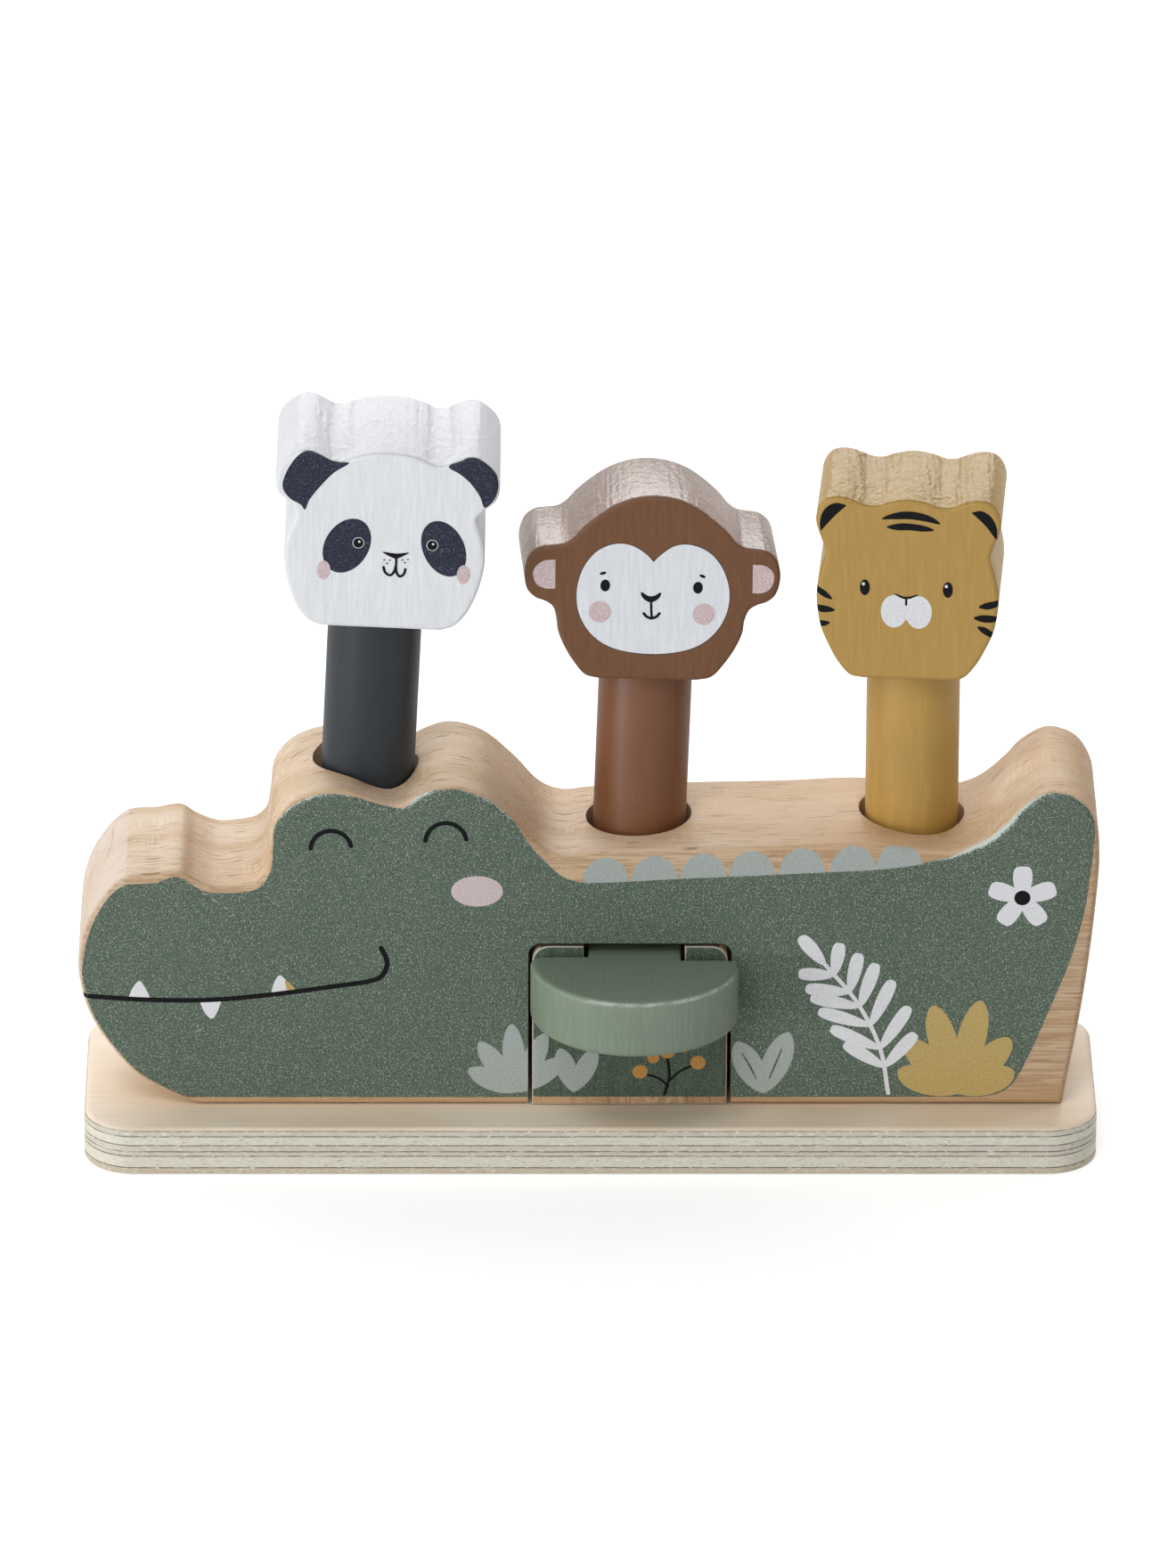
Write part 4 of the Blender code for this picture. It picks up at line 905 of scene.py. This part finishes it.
def dress_crocodile(outline):
    """The green coat with its face, the scallops along its back and the plants at its foot."""
    side = inset(outline, 0.85)
    jaw = side[(side[:, 0] < -80) & (side[:, 1] > GREEN_FOOT + 0.1) & (side[:, 1] < 47)]
    left, right = PRESS_X - 24.02, PRESS_X + 24.02
    arch = np.vstack([oval((right - 3, 51.62), (3, 3), 0, 0, 90, 8), oval((left + 3, 51.62), (3, 3), 0, 90, 180, 8)])

    def edge_wear_and_glint(spots):
        """Most on the slope up to the tail's tip, less on the bumps: worn print, and painted glints along the bumps."""
        x, z = spots[:, 0], spots[:, 1]
        slope = np.exp(-((x - 94) / 11) ** 2)
        bumps = np.exp(-((x + 68) / 9) ** 2) + np.exp(-((x + 20) / 9) ** 2) + 1.3 * np.exp(-((x + 40) / 4) ** 2)
        return np.where(z > 64, 0.28 + 0.9 * slope + 0.3 * bumps, 0.2) * (1 - 0.75 * np.exp(-((x - 36) / 34) ** 2))

    coat = np.vstack([jaw, flowing(GREEN_TOP, 4), [(right, GREEN_FOOT)], arch,
                      [(left, GREEN_FOOT), (jaw[0, 0] + 1.2, GREEN_FOOT)]])
    skin("crocodile_coat", [coat], CROC_GREEN, "frame", outline, 0.045, BLOCK_ROUND, BLOCK_FRONT, edge_wear_and_glint=edge_wear_and_glint)
    lobes = []
    for x, top in SCALLOPS:
        a = np.linspace(0, math.pi, 25)
        foot = top - 8.0
        lobes.append(np.stack([x + 5.55 * np.cos(a), foot + (top - foot) * np.sin(a) ** 0.8], 1))
    skin("back_scallops", lobes, SILVER, "frame", outline, 0.02, BLOCK_ROUND, BLOCK_FRONT)
    mouth = [(-119.6, 40.9), (-104.4, 39.9), (-89.3, 39.9), (-74.3, 41.4), (-60.8, 43.4), (-51.8, 44.9),
             (-49.5, 46.0), (-48.1, 48.9), (-48.4, 51.0), (-49.5, 53.4)]
    eyes = [stroke(oval(c, r, turn, 172, 8, 11), 1.1, 6) for c, r, turn in
            (((-61.2, 79.0), (4.8, 4.9), 4), ((-34.2, 80.8), (4.85, 5.1), 2))]
    teeth = [flowing(points, 8) for points in (
        [(-109.2, 40.4), (-108.1, 43.1), (-106.6, 44.8), (-105.2, 43.0), (-104.0, 40.2)],
        [(-75.6, 41.3), (-74.6, 44.8), (-73.4, 46.3), (-71.7, 44.6), (-70.0, 42.0)],
        [(-92.5, 39.6), (-91.0, 36.2), (-89.5, 34.9), (-88.4, 36.4), (-87.2, 39.8)])]
    skin("crocodile_teeth", teeth, CHALK, "frame", outline, 0.065, BLOCK_ROUND, BLOCK_FRONT)
    skin("tooth_edge", [flowing([(-72.3, 45.0), (-71.0, 44.2), (-69.9, 42.3), (-71.6, 41.9), (-72.0, 43.3)], 6)],
         HONEY, "frame", outline, 0.075, BLOCK_ROUND, BLOCK_FRONT)
    skin("crocodile_mouth", [stroke(mouth, 1.22, 10)] + eyes, INK, "frame", outline, 0.085,
         BLOCK_ROUND, BLOCK_FRONT)
    nicks = [leaf((x, z), (x + reach * math.cos(math.radians(turn)), z + reach * math.sin(math.radians(turn))), 0.26)
             for x, z, reach, turn in ((-93.8, 31.2, 2.6, 28), (-91.6, 67.9, 1.5, -30), (-89.3, 66.4, 1.9, -42),
                                       (-86.6, 64.3, 1.4, -36), (-84.6, 62.6, 1.2, -60), (-45.2, 49.4, 0.9, 20),
                                       (58.4, 51.3, 2.2, 6), (97.0, 57.2, 1.1, 35))]
    skin("coat_nicks", nicks, SILVER, "frame", outline, 0.055, BLOCK_ROUND, BLOCK_FRONT)
    skin("crocodile_cheek", [oval((-26.9, 68.2), (6.1, 3.95))], PINK_ON_GREEN, "frame", outline, 0.065,
         BLOCK_ROUND, BLOCK_FRONT)


def spray(foot, angles, lengths, width, belly=0.55, point=0.8):
    """Leaves fanned out from one foot, angles in degrees from +X."""
    foot = np.array(foot)
    return [leaf(foot, foot + length * np.array([math.cos(math.radians(a)), math.sin(math.radians(a))]),
                 width, belly, point) for a, length in zip(angles, lengths)]


def dress_plants(outline):
    """Leaves, berries and a blossom: white sprig and honey bush by the tail, hearts by the lever."""
    press = press_block_outline()
    gap_left, gap_right = PRESS_X - 24.05, PRESS_X - PANEL_WIDTH / 2 + 0.15
    far_right = PRESS_X + 24.05

    bush = spray((87, 15.2), (24, 50, 78, 105, 131, 157), (14.5, 19, 25, 24, 19, 15.5), 6.8, 0.6, 0.85)
    bush = [trimmed(shape, GREEN_FOOT + 0.2, 1, False) for shape in bush]
    skin("honey_bush", bush, HONEY, "frame", outline, 0.055, BLOCK_ROUND, BLOCK_FRONT)

    line = [(70.5, 15.4), (68.5, 27), (63.0, 39), (54.5, 50)]
    stem = flowing(line, 12)
    ahead = np.gradient(stem, axis=0)
    ahead /= np.linalg.norm(ahead, axis=1)[:, None]
    sprig = [stroke(line, 1.0, 10)]
    for share, reach in ((0.22, 11.5), (0.36, 13.0), (0.50, 13.0), (0.64, 12.0), (0.77, 10.5), (0.89, 8.5)):
        spot = int(share * (len(stem) - 1))
        for turn in (-1, 1):
            angle = math.atan2(ahead[spot, 1], ahead[spot, 0]) + turn * math.radians(48)
            sprig.append(leaf(stem[spot], stem[spot] + reach * np.array([math.cos(angle), math.sin(angle)]),
                              3.3, 0.66, 0.55))
    sprig.append(leaf(stem[-2], stem[-2] + 9.5 * ahead[-2], 3.4, 0.64, 0.55))
    skin("white_sprig", sprig, CHALK, "frame", outline, 0.10, BLOCK_ROUND, BLOCK_FRONT)

    fan = spray((-17.5, 15.6), (38, 66, 94, 124, 152), (14.5, 17.0, 18.0, 16.0, 13.0), 5.2, 0.56, 0.8)
    fan += spray((-4.0, 15.6), (66, 106), (12.5, 12.0), 4.8, 0.56, 0.8)
    on_block = [trimmed(shape, gap_left, 0, True) for shape in fan[:5]]
    on_press = [trimmed(shape, gap_right, 0, False) for shape in fan if shape[:, 0].max() > gap_right + 0.5]
    skin("silver_leaves_left", on_block, SILVER, "frame", outline, 0.06, BLOCK_ROUND, BLOCK_FRONT)
    skin("silver_leaves_middle", on_press, SILVER, "frame", press, 0.06, 0.6, BLOCK_FRONT)

    pair = spray((41.0, 15.4), (70, 116), (17.0, 15.0), 6.6, 0.54, 0.75)
    pair = [trimmed(shape, far_right, 0, False) for shape in pair]
    skin("silver_leaves_right", pair, SILVER, "frame", outline, 0.06, BLOCK_ROUND, BLOCK_FRONT)
    veins = [stroke([(42.3, 19.2), (43.8, 23.2), (45.2, 27.0)], 0.5, 8, 0.5),
             stroke([(39.2, 19.2), (37.6, 22.6), (35.9, 25.8)], 0.5, 8, 0.5)]
    skin("leaf_veins", veins, CROC_GREEN, "frame", outline, 0.10, BLOCK_ROUND, BLOCK_FRONT)

    twig = [stroke([(17.5, 15.0), (18.6, 19.5), (18.2, 25.0)], 0.7, 8),
            stroke([(18.5, 18.5), (21.0, 21.0), (24.0, 22.6)], 0.6, 8),
            stroke([(18.4, 17.2), (16.2, 19.2), (13.0, 20.4)], 0.6, 8)]
    skin("berry_twig", twig, INK, "frame", press, 0.06, 0.6, BLOCK_FRONT)
    berries = [oval(c, (r, r)) for c, r in (((18.1, 26.4), 1.9), ((25.4, 23.4), 1.8), ((11.7, 21.0), 1.8),
                                             ((21.9, 27.6), 1.5), ((14.8, 24.6), 1.4))]
    skin("orange_berries", berries, ORANGE, "frame", press, 0.08, 0.6, BLOCK_FRONT)

    heart = np.array((101.5, 66.5))
    petals = spray(heart, (18, 90, 162, 234, 306), (8.2,) * 5, 4.6, 0.66, 0.5)
    skin("blossom", petals, CHALK, "frame", outline, 0.06, BLOCK_ROUND, BLOCK_FRONT)
    skin("blossom_heart", [oval(heart, (1.9, 1.9))], INK, "frame", outline, 0.10, BLOCK_ROUND, BLOCK_FRONT)


def dress_press_block():
    """The panel's green face, bare at its foot."""
    outline = press_block_outline()
    face = trimmed(inset(outline, 0.26), 14.4, 1, False)
    skin("panel_face", [face], PANEL_GREEN_SHADED, "frame", outline, 0.03, 0.6, BLOCK_FRONT)


# ---------------------------------------------------------------- faces
MASK = flowing([(-0.2, 29.2), (-1.9, 31.0), (-5.4, 33.1), (-9.1, 33.5), (-13.2, 31.8), (-16.4, 27.8), (-17.9, 22.0),
                (-17.2, 16.2), (-14.2, 11.2), (-9.2, 7.9), (0.0, 6.5), (9.2, 7.9), (14.2, 11.2), (17.2, 16.2),
                (17.9, 22.0), (16.0, 28.0), (12.6, 31.9), (8.2, 33.6), (4.6, 33.2), (1.5, 31.0), (-0.2, 29.2)])[:-1]
FRONTS = {"panda": PANDA_FACE, "monkey": MONKEY_FACE, "tiger": TIGER_FACE}


def dress_heads():
    """Eyes, noses, cheeks, ears and stripes, drawn on each head's front about its neck."""
    drawn = {
        "panda": [
            ("patches", NAVY, 0.05, [oval((-7.45, 21.7), (5.2, 7.5), -22), oval((15.1, 22.0), (4.9, 7.6), 22),
                closed([(-23.0, 37.4), (-21.7, 41.7), (-19.0, 45.5), (-16.2, 46.1), (-13.3, 44.7), (-10.4, 43.4),
                        (-7.8, 43.5), (-11.2, 40.8), (-14.2, 37.1), (-16.6, 33.4), (-17.6, 30.7), (-18.5, 31.9),
                        (-21.1, 33.5), (-22.7, 35.6)]),
                closed([(15.3, 43.6), (18.3, 45.3), (20.8, 46.5), (23.4, 46.0), (25.7, 43.8), (27.0, 39.9),
                        (26.8, 37.0), (25.5, 34.4), (24.1, 33.3), (22.9, 36.1), (20.5, 39.6), (17.9, 41.9)])]),
            ("cheeks", BLUSH, 0.08, [oval((-12.6, 15.0), (1.55, 2.5)), oval((20.0, 15.4), (1.55, 2.5))]),
            ("eye_rings", CHALK, 0.09, [oval((-4.8, 22.6), (1.36, 1.46)), oval((12.4, 22.8), (1.36, 1.46))]),
            ("eye_whites", INK, 0.10, [oval((-4.8, 22.6), (1.2, 1.3)), oval((12.4, 22.8), (1.2, 1.3))]),
            ("pupils", INK, 0.11, [oval((-4.8, 22.6), (0.98, 1.08)), oval((12.4, 22.8), (0.98, 1.08)),
                closed([(0.9, 20.5), (2.6, 20.35), (4.1, 20.2), (5.6, 20.4), (7.1, 20.6), (5.7, 19.6), (4.1, 18.9),
                        (2.4, 19.5)], 6),
                stroke([(4.15, 19.2), (4.2, 17.9), (4.2, 16.8)], 0.55),
                stroke([(1.3, 16.5), (1.7, 15.2), (2.9, 14.4), (3.8, 15.4), (4.15, 16.9)], 0.6),
                stroke([(4.15, 16.9), (4.4, 15.2), (5.2, 14.2), (6.1, 14.9), (6.4, 16.2)], 0.6),
                oval((2.1, 17.5), (0.22, 0.22)), oval((6.2, 17.9), (0.22, 0.22)), oval((1.4, 18.4), (0.2, 0.2)),
                oval((2.7, 18.4), (0.2, 0.2)), oval((5.6, 18.6), (0.2, 0.2)), oval((6.9, 18.8), (0.2, 0.2))]),
            ("eye_lights", CHALK, 0.13, [oval((-4.6, 22.95), (0.3, 0.3)), oval((12.55, 23.15), (0.3, 0.3))]),
        ],
        "monkey": [
            ("mask_rim", MASK_RIM, 0.035, [inset(MASK, -0.2)]),
            ("mask", MASK_WHITE, 0.05, [MASK]),
            ("ears", BLUSH, 0.05, [flowing([(-23.2, 29.3), (-25.9, 29.0), (-27.9, 27.3), (-28.3, 25.4), (-27.4, 23.2),
                (-25.4, 22.2), (-23.0, 22.2)], 6), flowing([(23.1, 29.0), (25.9, 28.8), (27.9, 27.2), (28.2, 25.3),
                (27.3, 23.1), (25.6, 22.1), (23.3, 22.0)], 6)]),
            ("cheeks", BLUSH, 0.07, [oval((-12.3, 16.7), (2.65, 2.65)), oval((12.1, 16.6), (2.65, 2.65))]),
            ("eyes", INK, 0.09, [oval((-11.3, 23.2), (1.14, 1.46)), oval((10.45, 23.1), (1.14, 1.46)),
                oval((-11.95, 26.2), (0.78, 0.36), 16), oval((11.4, 25.95), (0.78, 0.36), -22),
                closed([(-2.85, 21.75), (-2.3, 21.55), (-1.5, 21.0), (-0.5, 20.75), (0.5, 21.0), (1.3, 21.55), (1.85, 21.75),
                        (1.75, 20.9), (0.9, 19.85), (-0.5, 19.25), (-1.9, 19.85), (-2.75, 20.9)], 5),
                stroke([(-0.4, 19.6), (-0.3, 17.6), (-0.1, 15.5)], 0.56),
                stroke([(-2.0, 16.5), (-1.3, 15.75), (-0.15, 15.35), (0.95, 15.75), (1.65, 16.55)], 0.66)]),
        ],
        "tiger": [
            ("stripes", INK, 0.05, [
                closed([(-7.3, 41.1), (-5.2, 42.4), (-1.6, 43.2), (2.2, 42.8), (5.2, 41.5), (6.4, 40.2), (3.4, 40.7),
                        (-0.6, 41.2), (-4.4, 41.1)], 6),
                closed([(-6.1, 39.1), (-3.6, 40.0), (-0.2, 40.1), (3.2, 39.5), (5.0, 38.6), (2.6, 38.2), (-0.6, 38.4),
                        (-4.2, 38.4)], 6),
                np.vstack([flowing([(-21.5, 37.5), (-21.7, 39.4), (-21.1, 42.3), (-19.5, 44.2), (-17.7, 44.8),
                                    (-15.5, 44.3)], 6), flowing([(-15.5, 44.3), (-18.6, 41.1), (-21.5, 37.5)], 6)[1:-1]]),
                np.vstack([flowing([(13.6, 43.4), (15.8, 43.9), (18.0, 42.7), (19.5, 40.0), (19.7, 36.3)], 6),
                           flowing([(19.7, 36.3), (16.9, 40.2), (13.6, 43.4)], 6)[1:-1]]),
                stroke([(-23.4, 23.6), (-21.0, 21.9), (-18.9, 20.4)], 1.5, 8, 0.6),
                stroke([(-23.6, 17.9), (-20.9, 17.7), (-18.2, 17.4)], 1.8, 8, 0.7),
                stroke([(-22.8, 13.6), (-20.9, 13.9), (-19.3, 14.1)], 1.5, 8, 0.7),
                stroke([(16.1, 19.4), (18.2, 19.8), (21.6, 20.9)], 1.8, 8, 0.6),
                stroke([(15.0, 16.5), (17.4, 16.4), (21.2, 16.3)], 1.9, 8, 0.6),
                stroke([(15.8, 14.1), (17.4, 13.2), (20.6, 10.9)], 1.6, 8, 0.6)]),
            ("muzzle", CHALK, 0.06, [oval((-4.1, 17.6), (3.1, 4.2)), oval((1.65, 17.5), (3.1, 4.2)),
                closed([(-3.4, 20.2), (-1.2, 21.0), (1.0, 20.2), (0.9, 17.0), (-1.2, 15.4), (-3.3, 17.0)], 6)]),
            ("eyes", INK, 0.11, [oval((-11.0, 23.5), (1.15, 2.0)), oval((8.4, 23.5), (1.15, 2.0)),
                stroke([(-3.9, 22.0), (-2.6, 21.4), (-1.3, 21.1), (0.0, 21.4), (1.3, 21.9)], 0.55, 8, 0.5),
                stroke([(-1.3, 21.2), (-1.3, 20.3), (-1.3, 19.4)], 0.5)]),
            ("eye_lights", CHALK, 0.14, [oval((-11.35, 24.4), (0.36, 0.42)), oval((8.05, 24.4), (0.36, 0.42))]),
        ],
    }
    for name, layers in drawn.items():
        _, _, _, offset, width, height, _, half = ANIMALS[name]
        host = head_outline(half, width, height, offset)
        place = moved(axes_of(name)[1])
        skin(f"{name}_front", [inset(host, 0.25)], FRONTS[name], f"{name}_face", host, 0.015, HEAD_ROUND,
             -HEAD_HALF, place)
        for part, ink, lift, shapes in layers:
            skin(f"{name}_{part}", shapes, ink, f"{name}_face", host, lift, HEAD_ROUND, -HEAD_HALF, place)


# ---------------------------------------------------------------- studio
def shown_white(name, level, strength=1.0):
    """White to the camera and to reflections, a plain grey of `level` as a light."""
    world = bpy.data.worlds.new(name)
    world.use_nodes = True
    tree = world.node_tree
    path = tree.nodes.new("ShaderNodeLightPath")
    through, seen = tree.nodes.new("ShaderNodeMath"), tree.nodes.new("ShaderNodeMath")
    through.operation = seen.operation = "MAXIMUM"
    tree.links.new(path.outputs["Is Glossy Ray"], through.inputs[0])
    tree.links.new(path.outputs["Is Transmission Ray"], through.inputs[1])
    tree.links.new(path.outputs["Is Camera Ray"], seen.inputs[0])
    tree.links.new(through.outputs[0], seen.inputs[1])
    share = tree.nodes.new("ShaderNodeMapRange")
    share.inputs["To Min"].default_value = level
    share.inputs["To Max"].default_value = strength
    tree.links.new(seen.outputs[0], share.inputs["Value"])
    back = tree.nodes["Background"]
    tree.links.new(share.outputs[0], back.inputs["Strength"])
    back.inputs["Color"].default_value = (1, 1, 1, 1)
    bpy.context.scene.world = world


def lamp(name, place, size, watts, colour=(1, 1, 1), aim=(0, 0, 0.07)):
    light = bpy.data.lights.new(name, "AREA")
    light.shape, light.size, light.size_y, light.energy, light.color = "RECTANGLE", *size, watts, colour
    made = bpy.data.objects.new(name, light)
    made.location = place
    made.rotation_euler = (Vector(aim) - Vector(place)).to_track_quat("-Z", "Y").to_euler()
    made.visible_camera = False
    bpy.context.scene.collection.objects.link(made)


def floor():
    """A pale sweep: plain diffuse, and a share of white added for the camera alone."""
    finish = Finish("studio floor", Roughness=0.9, Specular_IOR_Level=0.1)
    finish.feed("Base Color", screen(236, 236, 236))
    tree = finish.tree
    seen = finish.node("ShaderNodeLightPath", output="Is Camera Ray")
    glow = finish.node("ShaderNodeEmission", {}, {"Color": (1, 1, 1), "Strength": seen * 0.45})
    both = tree.nodes.new("ShaderNodeAddShader")
    tree.links.new(finish.shader.outputs[0], both.inputs[0])
    tree.links.new(glow.socket, both.inputs[1])
    tree.links.new(both.outputs[0], tree.nodes["Material Output"].inputs["Surface"])
    grid = np.array([(-1, -1), (1, -1), (1, 1), (-1, 1)]) * 6000.0
    plane = piece_from("studio_floor", np.column_stack([grid, np.full(4, -0.1)]), [(0, 1, 2, 3)],
                       finish.material, None)


def look():
    """The camera at the photograph's angle, 3.3 m away."""
    level, around, roll = (math.radians(a) for a in (24.82, -0.5, 0.22))
    back = Vector((math.sin(around) * math.cos(level), -math.cos(around) * math.cos(level), math.sin(level)))
    across = Vector((0, 0, 1)).cross(back).normalized()
    up = back.cross(across)
    across, up = (across * math.cos(roll) + up * math.sin(roll), up * math.cos(roll) - across * math.sin(roll))
    camera = bpy.data.cameras.new("camera")
    camera.sensor_fit, camera.sensor_height, camera.lens = "VERTICAL", 36.0, 320.99
    camera.clip_start, camera.clip_end = 0.1, 60.0
    made = bpy.data.objects.new("camera", camera)
    frame_of = Matrix((across, up, back)).transposed().to_4x4()
    frame_of.translation = Vector((-0.00071, 0, 0.08699)) + back * 3.3
    made.matrix_world = frame_of
    bpy.context.scene.collection.objects.link(made)
    bpy.context.scene.camera = made


def dress_frame():
    """Better finishes on the solids that stay as they are."""
    for node, finish in {"pivot_pin": STEEL, "lift_bar": PLAIN_BEECH, "stop_post_left": PLAIN_BEECH,
                         "stop_post_right": PLAIN_BEECH,
                         **{f"body_screw_{i}": STEEL for i in (1, 2, 3, 4)},
                         **{f"block_screw_{i}": STEEL for i in (1, 2)},
                         **{f"kicker_{name}": PLAIN_BEECH for name in ANIMALS},
                         **{f"{name}_peg": PLAIN_BEECH for name in ANIMALS}}.items():
        for slot in bpy.data.objects[node].material_slots:
            slot.material = finish


croc = block_outline()
make_plate()
make_block(croc)
make_press_block()
make_paddle()
make_animals({"panda": (SLATE, "slate_paint"), "monkey": (TAN, "tan_paint"), "tiger": (MUSTARD, "mustard_paint")},
             {"panda": (WHITE, "white_paint"), "monkey": (BROWN, "brown_paint"), "tiger": (OCHRE, "ochre_paint")})
dress_crocodile(croc)
dress_press_block()
dress_plants(croc)
dress_heads()
dress_frame()
floor()
shown_white("studio", 0.28)
lamp("front_lamp", (-1.1, -1.75, 1.1), (1.1, 0.9), 11)
lamp("top_lamp", (-0.4, -1.3, 2.0), (1.2, 0.8), 14)
lamp("low_side_lamp", (-1.25, -0.85, 0.10), (0.5, 0.2), 6.2)
lamp("rear_left_lamp", (-2.0, 1.5, 1.2), (1.4, 1.2), 17)
lamp("rear_right_lamp", (2.0, 1.1, 1.2), (1.2, 1.0), 12)
lamp("rear_lamp", (0.0, 2.3, 1.4), (2.2, 1.4), 35)
look()

bpy.context.scene.view_settings.view_transform = "Standard"
